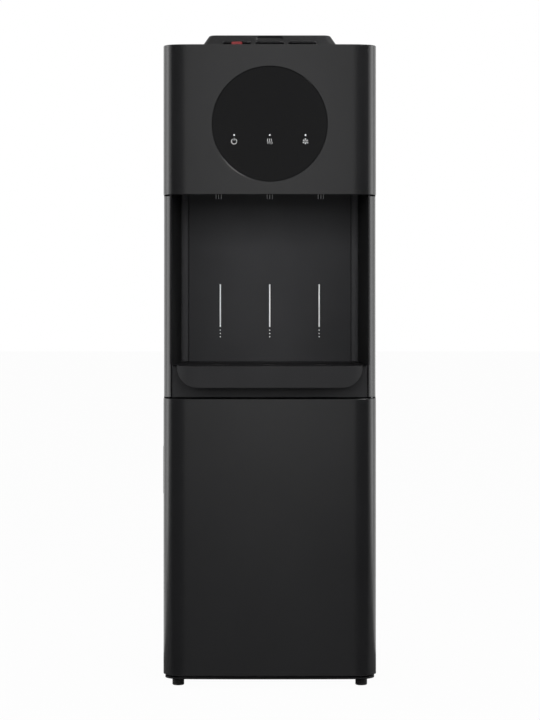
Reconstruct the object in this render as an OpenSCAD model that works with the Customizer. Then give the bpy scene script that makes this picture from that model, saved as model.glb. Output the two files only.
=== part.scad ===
// Floor-standing top-load water dispenser with three keys, an alcove and a cabinet door.
// Millimetres. Each module is drawn with the apex of the front face at y = 0, the back
// towards +y and the floor at z = 0. placed() then moves it into the shared frame.

/* [Body] */
// Width across the side panels
body_w = 310; // [300:1:326]
// Depth from the front face to the rear panel
body_d = 330; // [328:1:350]
// Radius of the two vertical front corners
front_r = 25; // [22:0.5:27]
// How far the middle of the front face bows out
bow = 2.5; // [1.5:0.1:3.5]
// Depth that the front mouldings wrap round the sides
wrap_d = 48; // [47:0.5:52]
// Wall of the plastic front mouldings
shell_t = 2.5; // [2.2:0.1:2.8]
// Thickness of the steel sheets
sheet_t = 1; // [0.8:0.1:1.3]
// Height of the dark seams between the front mouldings
seam_gap = 2; // [1.5:0.1:3]
// Gap between a front moulding and a side panel
side_gap = 0.8; // [0.7:0.05:0.95]
// Width of the flanges that stiffen the side panels
flange_w = 12; // [11:0.5:13]

/* [Clearances] */
// Clearance round parts that slide, lift or swing
run_gap = 0.4; // [0.3:0.05:0.6]
// Clearance between parts that stay seated
seat_gap = 0.3; // [0.2:0.05:0.4]
// Radial clearance of a running pin
pin_gap = 0.06; // [0.03:0.01:0.09]

/* [Base and feet] */
// Height of the base above the floor
foot_h = 14; // [12:0.5:20]
// Radius of a foot
foot_r = 8.6; // [7:0.1:9]
// Distance of a foot from the side of the body
foot_inset = 21.3; // [20.5:0.1:24]
// Distance of a foot from the front and the back of the body
foot_setback = 40; // [36:1:50]
// Thickness of the base pan
base_t = 2.5; // [2:0.1:4]
// How far the base pan stays inside the body outline
base_inset = 3; // [2:0.1:4]
// Gap between the base pan and the door
base_gap = 1.7; // [1.4:0.1:3]

/* [Cabinet door] */
// Height of the door
door_h = 401.3; // [390:0.1:420]
// Radius of a hinge pin
pivot_r = 3; // [2.5:0.1:3.5]
// Distance of the hinge axis from the side of the body
pivot_side = 8; // [7.5:0.1:8.5]
// Distance of the hinge axis from the back edge of the door
pivot_back = 12; // [11.5:0.1:13]
// Length of a hinge pin inside the door
pivot_l = 12; // [8:0.5:16]
// Height of the finger pull
pull_h = 70; // [50:1:90]
// Height of the finger pull above the bottom of the door
pull_rise = 262; // [200:1:300]
// Depth of the finger pull into the door
pull_d = 13; // [10:0.5:16]

/* [Dispensing bay] */
// Height of the bay moulding
bay_h = 291.5; // [280:0.5:310]
// Width of each side strip, seen from the front
bay_strip_w = 12.6; // [12:0.1:13.5]
// How far each side wall draws in towards the back
bay_draw = 12.4; // [10.4:0.1:14.4]
// Depth of the back wall behind the front face
bay_depth = 165; // [164:0.5:168]
// Radius of the two back corners
bay_fillet = 12; // [8:0.5:15]
// How far the side strips stay inside the body outline
strip_inset = 0.7; // [0.4:0.1:1]
// Height of the hidden ceiling above the bay moulding
ceil_rise = 22; // [20:0.5:26]
// How far the apron sits behind the front face
apron_y = 9; // [8.5:0.1:11]
// Length of a flow line on the back wall
mark_l = 64.6; // [50:0.1:75]
// Width of a flow line
mark_w = 2.2; // [1.5:0.1:3]
// Height of the lower end of a flow line above the bottom of the bay
mark_rise = 98.7; // [85:0.1:110]

/* [Drip tray] */
// Gap between the tray and each side of the bay opening
tray_side_gap = 7.9; // [7.4:0.1:11]
// Height of the tray
tray_h = 31.2; // [31:0.1:33]
// How far the tray stands in front of the body
tray_proud = 30; // [26:0.5:36]
// Radius of the lower corners seen from the front
tray_round = 30.7; // [24:0.1:30.9]
// Radius of the front corners seen from above
tray_corner_r = 34; // [26:0.5:35]
// How much each side draws in towards the back
tray_taper = 8.5; // [8:0.1:10]
// Wall of the tray
tray_wall = 2.2; // [1.8:0.1:2.6]
// Height of the tray rim above the bottom of the bay
tray_level = 46.5; // [44:0.5:50]
// Thickness of the grille plate
grille_t = 2.5; // [2:0.1:3]
// Radius of a grille opening
grille_hole_r = 13; // [10:0.5:15]

/* [Spouts] */
// Distance between the spouts
spout_pitch = 75; // [72:0.5:80]
// Depth of the spouts behind the front face
spout_y = 55; // [52:0.5:58]
// Radius of a spout
spout_r = 4.8; // [4:0.1:5.5]
// How far the spouts hang below the top of the bay moulding
spout_drop = 3; // [1:0.5:6]

/* [Front panel] */
// Height of the upper front panel
panel_h = 217; // [214:0.5:225]
// Radius of the display disc
disc_r = 83.15; // [80:0.05:85]
// Depth of the disc centre below the panel rim
disc_drop = 115.1; // [110:0.1:118]
// Thickness of the disc
disc_t = 3.2; // [3:0.1:3.6]
// How far the disc stands in front of the apex of the front face
disc_proud = 0.3; // [0.1:0.05:0.6]
// Distance between the indicator lights
light_pitch = 51.5; // [40:0.5:56]
// Radius of an indicator light
light_r = 1.5; // [1:0.1:2]
// Depth of the lights below the disc centre
light_drop = 16.2; // [10:0.1:22]

/* [Keys] */
// Width of a key cap
key_w = 41; // [38:0.5:43]
// Depth of a key cap
key_d = 36; // [34:0.5:38]
// Thickness of a key cap
key_t = 4; // [3.6:0.1:5]
// Distance between the keys
key_pitch = 47.7; // [46.5:0.1:50]
// Depth of the front edge of the caps behind the front face
key_y = 14; // [13:0.5:16]
// Height of the underside of the caps above the deck
key_rise = 5; // [4.8:0.1:6]
// Travel of a key
key_travel = 4; // [3:0.1:4.2]
// Width of the child lock
lock_w = 16; // [14:0.5:17]
// Height of the child lock
lock_h = 5; // [4.6:0.1:5.4]
// Travel of the child lock
lock_travel = 4; // [2:0.1:4.5]
// Turns of a return spring
spring_turns = 5; // [4:1:6]
// Radius of the return spring wire
spring_wire_r = 0.5; // [0.4:0.05:0.6]

/* [Top and bottle seat] */
// How far the deck lies below the panel rim
deck_drop = 1.5; // [1:0.1:2]
// Thickness of the deck
deck_t = 3; // [2.5:0.1:3.5]
// Depth of the bottle axis behind the front face
bottle_y = 167; // [166:0.5:170]
// Width of the collar at the deck
collar_w = 207; // [200:0.5:212]
// Depth of the collar at the deck
collar_d = 214; // [208:0.5:216]
// Height of the collar above the deck
collar_h = 22.5; // [18:0.5:26]
// How far a collar side leans in for each millimetre of height
collar_lean = 0.635; // [0.5:0.01:0.75]
// Radius of the bottle opening
mouth_r = 70; // [66:0.5:72]
// Depth of the funnel below the deck
funnel_h = 48; // [44:0.5:52]
// Radius of the probe that opens the bottle
probe_r = 9; // [7:0.1:10]
// Height of the probe above the funnel floor
probe_h = 42; // [34:0.5:43]

/* [Water tanks] */
// Radius of the cold tank
cold_r = 66; // [62:0.5:68]
// Radius of the hot tank
hot_r = 46; // [40:0.5:50]
// Height of the hot tank
hot_h = 150; // [120:1:170]
// Wall of the tanks
tank_t = 1; // [0.8:0.1:1.5]
// Thickness of the cold tank foam outside the coil
cold_foam_t = 20; // [14:0.5:22]
// Thickness of the hot tank lagging
hot_foam_t = 13; // [8:0.5:15]
// Radius of the evaporator tube
coil_r = 3; // [2.5:0.1:3.5]
// Turns of the evaporator coil
coil_turns = 5; // [3:1:6]
// Radius of a valve body
valve_r = 11; // [10:0.1:12]
// Height of a valve body
valve_h = 40; // [38:0.5:44]
// Radius of a push rod
rod_r = 2.5; // [2:0.1:3]
// Radius of the hose barbs
barb_r = 3; // [2.6:0.1:3.2]
// Wall of the hoses
hose_t = 1.6; // [1.2:0.1:1.8]

/* [Cooling and electrics] */
// Radius of the compressor can
can_r = 62; // [54:0.5:66]
// Height of the compressor can
can_h = 140; // [120:1:150]
// How far the condenser stands behind the rear panel
condenser_d = 22; // [18:0.5:28]
// Runs of the condenser tube
condenser_runs = 17; // [13:2:17]
// Distance between the runs
condenser_pitch = 25; // [22:0.5:26]
// Radius of the condenser tube
condenser_r = 2.4; // [2:0.1:3]
// Straight length of a run
condenser_run_l = 184; // [160:1:188]
// Wires of the condenser net
wire_count = 30; // [20:1:40]
// Height of the lower edge of the rear panel
rear_z0 = 205; // [200:1:215]
// Radius of the cord hole in the gland
cord_r = 4; // [3:0.1:5]
// Angle of a rocker from its middle position
rocker_tilt = 8; // [5:0.5:10]

/* [Hidden] */
$fn = 64;
cut = 1;

// Colours
black = "#232427";
dark = "#161719";
grey = "#37393c";
steel = "#b9bcc0";
white = "#e8e8e6";
foam = "#ddd8c4";
copper = "#b06a3c";
rubber = "#1b1b1b";
clear_hose = "#cfd4d6";
red = "#b5202a";
blue = "#2a5fa8";

// Overall placing
overall_d = tray_proud + body_d + condenser_d;
front_y = tray_proud - overall_d / 2;
half_w = body_w / 2;

// Levels from the floor up
base_z1 = foot_h + base_t;
door_z0 = base_z1 + base_gap;
door_z1 = door_z0 + door_h;
bay_z0 = door_z1 + seam_gap;
bay_z1 = bay_z0 + bay_h;
panel_z0 = bay_z1 + seam_gap;
body_h = panel_z0 + panel_h;
deck_z1 = body_h - deck_drop;
deck_z0 = deck_z1 - deck_t;
ceil_z = bay_z1 + ceil_rise;
ceil_z1 = ceil_z + shell_t;

// Body outline in plan: a shallow bow, two corner arcs that run on from it and straight sides.
// The facets of every inset lie parallel.
bow_steps = 12;
corner_steps = 16;
bow_r = half_w * half_w / (2 * bow);
corner_ang = asin((half_w - front_r) / (bow_r - front_r));
corner = [half_w - front_r, bow_r - (bow_r - front_r) * cos(corner_ang)];
function facing(a) = [sin(a), -cos(a)];
function half_plan(inset, depth) = concat(
  [for (k = [0:bow_steps - 1]) [0, bow_r] + (bow_r - inset) * facing(corner_ang * k / bow_steps)],
  [for (k = [0:corner_steps]) corner
    + (front_r - inset) * facing(corner_ang + (90 - corner_ang) * k / corner_steps)],
  [[half_w - inset, depth]]);
module plan(inset, depth) {
  right = half_plan(inset, depth);
  polygon(concat(right, [for (k = [len(right) - 1:-1:1]) [-right[k].x, right[k].y]]));
}
module shell(inset, z, h) {
  translate([0, 0, z]) linear_extrude(h) difference() {
    plan(inset, wrap_d);
    plan(inset + shell_t, wrap_d + cut);
  }
}

// Quarter disc in the +x, -y corner of its centre, used for exact rounded outlines
module quarter(r) {
  intersection() {
    circle(r);
    translate([0, -2 * r]) square(2 * r);
  }
}

// A tube along a list of points, hollow when ri is above 0
function unit(v) = v / norm(v);
function along(p, i) = unit(p[min(i + 1, len(p) - 1)] - p[max(i - 1, 0)]);
function ring(p, i, r, sides, ref) =
  let (t = along(p, i), a = unit(cross(t, ref)), b = cross(t, a))
  [for (k = [0:sides - 1]) p[i] + r * (cos(360 * k / sides) * a + sin(360 * k / sides) * b)];
module tube(p, ro, ri, sides, ref) {
  n = len(p);
  outer = [for (i = [0:n - 1]) each ring(p, i, ro, sides, ref)];
  inner = [for (i = [0:n - 1]) each ring(p, i, ri, sides, ref)];
  o = n * sides;
  skin = [for (i = [0:n - 2], k = [0:sides - 1])
    let (a = i * sides + k, b = i * sides + (k + 1) % sides)
    each [[a, a + sides, b + sides], [a, b + sides, b]]];
  e = (n - 1) * sides;
  solid_ends = [for (k = [1:sides - 2]) each [[0, k, k + 1], [e, e + k + 1, e + k]]];
  bore = [for (f = skin) [f[0] + o, f[2] + o, f[1] + o]];
  ring_ends = [for (k = [0:sides - 1]) let (j = (k + 1) % sides)
    each [[k, j, o + j], [k, o + j, o + k], [e + k, e + o + j, e + j], [e + k, e + o + k, e + o + j]]];
  if (ri > 0) polyhedron(concat(outer, inner), concat(skin, bore, ring_ends));
  else polyhedron(outer, concat(skin, solid_ends));
}

// Smooth route through control points, starting and ending exactly on the end points
function spline_at(c, i, t) = (c[i] * pow(1 - t, 3) + c[i + 1] * (3 * t * t * t - 6 * t * t + 4)
  + c[i + 2] * (-3 * t * t * t + 3 * t * t + 3 * t + 1) + c[i + 3] * t * t * t) / 6;
function route(points, steps) =
  let (m = len(points), c = concat([points[0], points[0]], points, [points[m - 1], points[m - 1]]))
  concat([for (i = [0:m], k = [0:steps - 1]) spline_at(c, i, k / steps)], [points[m - 1]]);

// A helix and the least gap between its turns
function helix(r, z, pitch, turns, steps) = [for (i = [0:turns * steps])
  [r * cos(360 * i / steps), r * sin(360 * i / steps), z + pitch * i / steps]];
function least_gap(p, wire_r, apart) = min([for (i = [0:len(p) - 1 - apart], j = [i + apart:len(p) - 1])
  norm(p[i] - p[j])]) - 2 * wire_r;

// Base, feet and hinge
stem_r = foot_r / 2;
foot_places = [for (x = [-1, 1], y = [foot_setback, body_d - foot_setback]) [x * (half_w - foot_inset), y]];
pivot = [half_w - pivot_side, wrap_d - pivot_back];
pivot_boss_r = pivot_r + 4;
pin_flange_r = pivot_r + 1.5;
skid_y = pivot.y + pin_flange_r + 2;
skid_w = half_w - base_inset - 1 - (half_w - foot_inset + foot_r + 1);
module base_pan() {
  color(dark) difference() {
    union() {
      translate([0, 0, foot_h]) linear_extrude(base_t) plan(base_inset, body_d - base_inset);
      for (s = [0, 1]) mirror([s, 0, 0])
        translate([half_w - base_inset - 1 - skid_w, skid_y, foot_h - 2])
          cube([skid_w, body_d - 2 * skid_y, 2 + cut]);
    }
    for (p = foot_places) translate([p.x, p.y, foot_h - cut])
      cylinder(h = base_t + 2 * cut, r = stem_r + seat_gap);
    translate([pivot.x, pivot.y, foot_h - cut]) cylinder(h = base_t + 2 * cut, r = pivot_r + pin_gap);
    for (p = mount_places) translate([p.x, p.y, foot_h - cut])
      cylinder(h = base_t + 2 * cut, r = mount_stem_r + seat_gap);
  }
}
module feet() {
  color(rubber) for (p = foot_places) translate([p.x, p.y, 0]) rotate_extrude()
    polygon([[0, 0], [foot_r - 1.5, 0], [foot_r, 1.5], [foot_r, foot_h], [stem_r, foot_h],
      [stem_r, base_z1 + base_gap / 2], [0, base_z1 + base_gap / 2]]);
}
lug_t = 3;
module hinge_pin(l) {
  cylinder(h = 1.5, r = pin_flange_r);
  translate([0, 0, 1]) cylinder(h = l + 0.5, r = pivot_r);
}
module hinge_pins() {
  color(steel) translate([pivot.x, pivot.y, 0]) {
    translate([0, 0, foot_h - 1.5]) hinge_pin(base_t + base_gap + pivot_l);
    translate([0, 0, bay_z0 + lug_t + 1.5]) mirror([0, 0, 1]) hinge_pin(lug_t + seam_gap + pivot_l);
  }
}

// Side and rear sheets
side_y = wrap_d + side_gap;
side_h = deck_z0 - base_z1;
screw_r = 1.6;
screw_x = half_w - sheet_t - flange_w / 2;
screw_places = [for (x = [-1, 1], k = [0:3]) [x * screw_x, rear_z0 + 20 + k * (deck_z0 - rear_z0 - 40) / 3]];
module screw_holes() {
  for (p = screw_places) translate([p.x, body_d - 3 * sheet_t, p.y]) rotate([-90, 0, 0])
    cylinder(h = 5 * sheet_t, r = screw_r + seat_gap);
}
module side_panel() {
  difference() {
    translate([0, 0, base_z1]) {
      translate([half_w - sheet_t, side_y, 0]) cube([sheet_t, body_d - side_y, side_h]);
      translate([half_w - flange_w, body_d - 2 * sheet_t, 0]) cube([flange_w, sheet_t, side_h]);
      translate([half_w - flange_w, side_y, 0]) cube([flange_w, body_d - side_y - sheet_t, sheet_t]);
      translate([half_w - flange_w, side_y, bay_z0 - base_z1])
        cube([flange_w, sheet_t, side_h - bay_z0 + base_z1]);
    }
    screw_holes();
  }
}
module right_side_panel() { color(grey) side_panel(); }
module left_side_panel() { color(grey) mirror([1, 0, 0]) side_panel(); }
vent_w = 90;
vent_z = deck_z0 - 190;
module rear_panel() {
  w = body_w - 2 * sheet_t - 2 * seat_gap;
  color(grey) difference() {
    translate([-w / 2, body_d - sheet_t, rear_z0]) cube([w, sheet_t, deck_z0 - seat_gap - rear_z0]);
    for (x = [-1, 1], k = [0:5]) translate([x * 60 - vent_w / 2, body_d - 2 * sheet_t, vent_z + 9 * k])
      cube([vent_w, 3 * sheet_t, 4]);
    screw_holes();
    through_rear(switch_place) cube([switch_w + 2 * seat_gap, switch_h + 2 * seat_gap, 60], center = true);
    through_rear(drain_place) cylinder(h = 60, r = drain_r + seat_gap, center = true);
    through_rear(gland_place) cylinder(h = 60, r = gland_r + seat_gap, center = true);
  }
}
module rear_screws() {
  color(steel) for (p = screw_places) translate([p.x, body_d, p.y]) rotate([-90, 0, 0]) {
    cylinder(h = 2, r = 2.2 * screw_r);
    translate([0, 0, -2 * sheet_t - 4]) cylinder(h = 2 * sheet_t + 5, r = screw_r);
  }
}
// Places an upright shape on the outer face of the rear panel with its +z pointing backwards
module through_rear(p) { translate([p.x, body_d, p.y]) rotate([-90, 0, 0]) children(); }

// Top deck with the key guides
stem_w = key_w - 11;
stem_d = key_d - 12;
stem_y = key_y + 6;
rod_y = stem_y + stem_d / 2;
guide_t = 2;
guide_h = 8;
key_x = [-key_pitch, 0, key_pitch];
deck_hole_r = mouth_r + 10;
module key_box(grow, z, h) {
  translate([-stem_w / 2 - grow, stem_y - grow, z]) cube([stem_w + 2 * grow, stem_d + 2 * grow, h]);
}
module top_deck() {
  color(black) difference() {
    union() {
      translate([0, 0, deck_z0]) linear_extrude(deck_t) {
        plan(shell_t + seat_gap, side_y + cut);
        translate([-half_w, side_y]) square([body_w, body_d - side_y]);
      }
      for (s = [0, 1]) mirror([s, 0, 0])
        translate([half_w - sheet_t - seat_gap - shell_t, side_y + 3 * sheet_t, deck_z0 - 10])
          cube([shell_t, body_d - side_y - 7 * sheet_t, 10 + cut]);
      for (x = key_x) translate([x, 0, 0]) key_box(run_gap + guide_t, deck_z0 - guide_h, guide_h + cut);
    }
    for (x = key_x) translate([x, 0, 0]) key_box(run_gap, deck_z0 - guide_h - cut, guide_h + deck_t + 2 * cut);
    translate([0, bottle_y, deck_z0 - cut]) cylinder(h = deck_t + 2 * cut, r = deck_hole_r);
    translate([-key_pitch - lock_w / 2 - 2 * run_gap, lock_y - 2 * run_gap, deck_z0 - cut])
      cube([lock_w + 4 * run_gap, stem_y - lock_y + cut, deck_t + 2 * cut]);
  }
}

// Upper front panel, display disc, lights and board
disc_z = body_h - disc_drop;
seat_y = disc_t - disc_proud;
light_x = [-light_pitch, 0, light_pitch];
module on_disc() { translate([0, 0, disc_z]) rotate([-90, 0, 0]) children(); }
module upper_front_panel() {
  color(grey) difference() {
    union() {
      shell(0, panel_z0, panel_h);
      translate([0, 0, deck_z0 - 3]) linear_extrude(3) difference() {
        plan(shell_t / 2, wrap_d);
        plan(shell_t + 4, wrap_d + cut);
      }
      on_disc() rotate_extrude() polygon([[disc_r + seat_gap, shell_t / 2], [disc_r + 5, shell_t / 2],
        [disc_r + 5, seat_y + 2], [disc_r - 6, seat_y + 2], [disc_r - 6, seat_y],
        [disc_r + seat_gap, seat_y]]);
    }
    on_disc() translate([0, 0, -cut]) cylinder(h = seat_y + cut, r = disc_r + seat_gap);
  }
}
module display_disc() {
  color(dark) difference() {
    on_disc() translate([0, 0, -disc_proud]) cylinder(h = disc_t, r = disc_r);
    on_disc() for (x = light_x) translate([x, light_drop, -disc_proud - cut])
      cylinder(h = disc_t + 2 * cut, r = light_r + pin_gap);
  }
}
module indicator_lights() {
  color(white) on_disc() for (x = light_x) translate([x, light_drop, -disc_proud - 0.1])
    cylinder(h = seat_y + 2 + disc_proud + 0.1, r = light_r);
}
module indicator_board() {
  color("#1d5a3a") on_disc() {
    translate([0, 0, seat_y + 2]) cylinder(h = 1.6, r = disc_r - 5);
    translate([-10, -50, seat_y + 3]) cube([20, 8, 5]);
  }
}

// Dispensing bay
bay_y0 = 7.5;
bay_open_w = body_w - 2 * bay_strip_w;
bay_ang = atan(bay_draw / (bay_depth - bay_y0));
function bay_x(y) = bay_open_w / 2 - (y - bay_y0) * tan(bay_ang);
bay_c = [bay_x(bay_depth - bay_fillet) - bay_fillet / cos(bay_ang), bay_depth - bay_fillet];
fillet_steps = 12;
module bay_plan(t) {
  r = bay_fillet + t;
  round = [for (k = [0:fillet_steps]) let (a = bay_ang + (90 - bay_ang) * k / fillet_steps)
    bay_c + r * [cos(a), sin(a)]];
  front = round[0] + (round[0].y - bay_y0) * [tan(bay_ang), -1];
  right = concat([front], round);
  polygon(concat(right, [for (k = [len(right) - 1:-1:0]) [-right[k].x, right[k].y]]));
}
module bay_walls() {
  difference() {
    bay_plan(shell_t);
    bay_plan(0);
  }
}
tray_z1 = bay_z0 + tray_level;
tray_z0 = tray_z1 - tray_h;
spout_x = [-spout_pitch, 0, spout_pitch];
module dispensing_bay() {
  color(black) difference() {
    union() {
      difference() {
        shell(strip_inset, bay_z0, bay_h);
        translate([-bay_open_w / 2, -cut, bay_z0 - cut]) cube([bay_open_w, wrap_d, bay_h + 2 * cut]);
      }
      translate([0, 0, bay_z0]) linear_extrude(bay_h) bay_walls();
      translate([0, 0, bay_z1 - cut]) linear_extrude(ceil_z - bay_z1 + 2 * cut) intersection() {
        bay_walls();
        plan(shell_t + seat_gap, bay_depth + 2 * shell_t);
      }
      translate([0, 0, ceil_z]) linear_extrude(shell_t) intersection() {
        union() {
          bay_plan(shell_t);
          translate([-bay_open_w / 2, seat_y + 2 + seat_gap]) square([bay_open_w, bay_y0 - seat_y]);
        }
        plan(shell_t + seat_gap, bay_depth + 2 * shell_t);
      }
      translate([0, 0, tray_z0 - seat_gap - shell_t]) linear_extrude(shell_t) intersection() {
        bay_plan(shell_t / 2);
        translate([-half_w, apron_y]) square([body_w, bay_depth]);
      }
      translate([0, 0, tray_z1 - shell_t]) linear_extrude(shell_t) difference() {
        intersection() {
          bay_plan(shell_t / 2);
          translate([-half_w, apron_y]) square([body_w, bay_depth]);
        }
        tray_plan(-run_gap);
      }
      difference() {
        translate([-bay_x(apron_y) - 1, apron_y, bay_z0]) cube([2 * bay_x(apron_y) + 2, shell_t, tray_level]);
        translate([0, 2 * apron_y, tray_z0]) rotate([90, 0, 0]) linear_extrude(2 * apron_y)
          tray_profile(-run_gap);
      }
      for (s = [0, 1]) mirror([s, 0, 0]) translate([0, 0, bay_z0]) linear_extrude(lug_t) intersection() {
        plan(strip_inset + shell_t / 2, wrap_d);
        translate([bay_open_w / 2 - 8, corner.y - 4]) square([half_w, wrap_d]);
      }
    }
    for (x = spout_x) translate([x, spout_y, ceil_z - cut]) cylinder(h = shell_t + 2 * cut, r = spout_r + seat_gap);
    translate([pivot.x, pivot.y, bay_z0 - cut]) cylinder(h = lug_t + 2 * cut, r = pivot_r + pin_gap);
  }
}
mark_t = 0.3;
module flow_marks() {
  color(white) for (x = spout_x) translate([x, bay_depth - mark_t, bay_z0 + mark_rise]) {
    translate([-mark_w / 2, 0, 0]) cube([mark_w, mark_t, mark_l]);
    for (k = [1:3]) translate([0, 0, -5 * k]) rotate([-90, 0, 0]) cylinder(h = mark_t, d = mark_w);
  }
}

// Drip tray and grille
tray_w = bay_open_w - 2 * tray_side_gap;
tray_y1 = bay_depth - 13;
tray_ledge = 2;
grille_z0 = tray_z1 - 1 - grille_t;
module tray_plan(inset) {
  c = [tray_w / 2 - tray_corner_r, tray_corner_r - tray_proud];
  w = tray_w / 2 - inset;
  for (s = [0, 1]) mirror([s, 0]) translate(c) quarter(tray_corner_r - inset);
  translate([-c.x, inset - tray_proud]) square([2 * c.x, tray_corner_r - inset]);
  polygon([[-w, c.y], [w, c.y], [w - tray_taper, tray_y1 - inset], [tray_taper - w, tray_y1 - inset]]);
}
module tray_profile(inset) {
  c = [tray_w / 2 - tray_round, tray_round];
  for (s = [0, 1]) mirror([s, 0]) translate(c) quarter(tray_round - inset);
  translate([-c.x, inset]) square([2 * c.x, tray_round - inset]);
  translate([inset - tray_w / 2, tray_round]) square([tray_w - 2 * inset, tray_h - tray_round + cut]);
}
module tray_block(plan_inset, profile_inset, z1) {
  intersection() {
    translate([0, 0, tray_z0]) linear_extrude(z1 - tray_z0) tray_plan(plan_inset);
    translate([0, bay_depth, tray_z0]) rotate([90, 0, 0]) linear_extrude(2 * bay_depth)
      tray_profile(profile_inset);
  }
}
module drip_tray() {
  color(black) difference() {
    tray_block(0, 0, tray_z1);
    tray_block(tray_wall + tray_ledge, tray_wall, grille_z0 + cut / 2);
    translate([0, 0, grille_z0]) linear_extrude(tray_h) tray_plan(tray_wall);
  }
}
module drip_grille() {
  color(grey) translate([0, 0, grille_z0]) linear_extrude(grille_t) difference() {
    tray_plan(tray_wall + run_gap);
    for (x = spout_x) translate([x, spout_y]) circle(grille_hole_r);
  }
}

// Cabinet door with its pull, inner panel and catch
pull_y0 = corner.y + 1;
pull_y1 = wrap_d - 5;
pull_z0 = door_z0 + pull_rise;
pull_t = 1.5;
inner_y = wrap_d - 4;
catch_w = 14;
catch_h = 44;
catch_place = [5 - half_w, door_z1 - 90];
module cabinet_door() {
  color(grey) difference() {
    union() {
      shell(0, door_z0, door_h);
      for (z = [door_z0, door_z1 - shell_t]) translate([0, 0, z]) linear_extrude(shell_t)
        plan(shell_t / 2, wrap_d);
      for (z = [door_z0, door_z1 - pivot_l - 2]) translate([pivot.x, pivot.y, z])
        cylinder(h = pivot_l + 2, r = pivot_boss_r);
    }
    for (z = [door_z0 - cut, door_z1 - pivot_l - cut]) translate([pivot.x, pivot.y, z])
      cylinder(h = pivot_l + 2 * cut, r = pivot_r + pin_gap);
    translate([-half_w - cut, pull_y0, pull_z0]) cube([shell_t + 2 * cut, pull_y1 - pull_y0, pull_h]);
  }
}
module door_pull() {
  color(dark) difference() {
    translate([-half_w, pull_y0 + seat_gap, pull_z0 + seat_gap])
      cube([pull_d, pull_y1 - pull_y0 - 2 * seat_gap, pull_h - 2 * seat_gap]);
    translate([-half_w - cut, pull_y0 + seat_gap + pull_t, pull_z0 + seat_gap + pull_t])
      cube([pull_d - pull_t + cut, pull_y1 - pull_y0 - 2 * seat_gap - 2 * pull_t,
        pull_h - 2 * seat_gap - 2 * pull_t]);
  }
}
module door_inner_panel() {
  x0 = seat_gap + shell_t - half_w;
  x1 = pivot.x - pivot_boss_r - 2;
  color(grey) translate([x0, inner_y, door_z0 + shell_t + seat_gap])
    cube([x1 - x0, 2, door_h - 2 * shell_t - 2 * seat_gap]);
}
module strike_plate() {
  color(steel) translate([catch_place.x, inner_y + 2, catch_place.y]) cube([catch_w, 0.8, catch_h]);
}
liner_y = wrap_d + 3.5;
module magnet_catch() {
  y0 = inner_y + 2.8 + run_gap;
  color(rubber) translate([catch_place.x, y0, catch_place.y]) cube([catch_w, liner_y - y0, catch_h]);
}

// Cabinet liner
liner_t = 2;
liner_x = half_w - 23;
liner_z0 = base_z1 + 6;
liner_z1 = bay_z0 - 8;
module cabinet_liner() {
  flange_z0 = base_z1 + sheet_t + seat_gap;
  flange_x = half_w - sheet_t - seat_gap;
  color("#4a4c4f") difference() {
    union() {
      translate([-flange_x, liner_y, flange_z0]) cube([2 * flange_x, liner_t, bay_z0 - seat_gap - flange_z0]);
      translate([-liner_x, liner_y, liner_z0]) cube([2 * liner_x, bay_depth - liner_y, liner_z1 - liner_z0]);
    }
    translate([liner_t - liner_x, liner_y - cut, liner_z0 + liner_t])
      cube([2 * liner_x - 2 * liner_t, bay_depth - liner_y - liner_t + cut, liner_z1 - liner_z0 - 2 * liner_t]);
  }
}

// Bottle seat
collar_z1 = deck_z1 + collar_h;
collar_r = 16;
funnel_r = mouth_r - 4;
funnel_t = 2;
funnel_z = deck_z1 - funnel_h;
neck_r = 34;
lean_ang = atan(collar_lean);
module frustum(inset, h) {
  low = [collar_w, collar_d] / 2 - [1, 1] * (collar_r + inset);
  high = low - [1, 1] * h * collar_lean;
  hull() for (x = [-1, 1], y = [-1, 1]) {
    translate([x * low.x, y * low.y, 0]) cylinder(h = 0.1, r = collar_r, $fn = 32);
    translate([x * high.x, y * high.y, h - 0.1]) cylinder(h = 0.1, r = collar_r, $fn = 32);
  }
}
module finger_notch() {
  up = collar_h - 5;
  translate([0, up * collar_lean - collar_d / 2, up]) rotate([90 - lean_ang, 0, 0])
    translate([0, 0, -0.8]) linear_extrude(3) {
      square([30, 8.5], center = true);
      for (s = [-1, 1]) translate([s * 15, 0]) circle(d = 8.5);
    }
}
module bottle_collar() {
  color(black) translate([0, bottle_y, deck_z1]) difference() {
    frustum(0, collar_h);
    difference() {
      translate([0, 0, -cut]) frustum(shell_t + collar_lean, collar_h - shell_t + cut);
      translate([0, 0, -2 * cut]) cylinder(h = collar_h, r = mouth_r + shell_t);
    }
    translate([0, 0, -cut]) cylinder(h = collar_h + 2 * cut, r = mouth_r);
    finger_notch();
  }
}
module bottle_funnel() {
  color(dark) translate([0, bottle_y, 0]) rotate_extrude() polygon([[probe_r + seat_gap, funnel_z],
    [neck_r, funnel_z], [funnel_r, funnel_z + 20], [funnel_r, deck_z1], [deck_hole_r - run_gap, deck_z1],
    [deck_hole_r - run_gap, deck_z1 - funnel_t], [funnel_r + funnel_t, deck_z1 - funnel_t],
    [funnel_r + funnel_t, funnel_z + 20 - funnel_t], [neck_r + funnel_t, funnel_z - funnel_t],
    [probe_r + seat_gap, funnel_z - funnel_t]]);
}
seal_t = 1.5;
cold_z1 = funnel_z - funnel_t - 6;
module probe_seal() {
  color(rubber) translate([0, bottle_y, funnel_z]) rotate_extrude()
    translate([probe_r + seat_gap, 0]) square([6, seal_t]);
}
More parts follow.
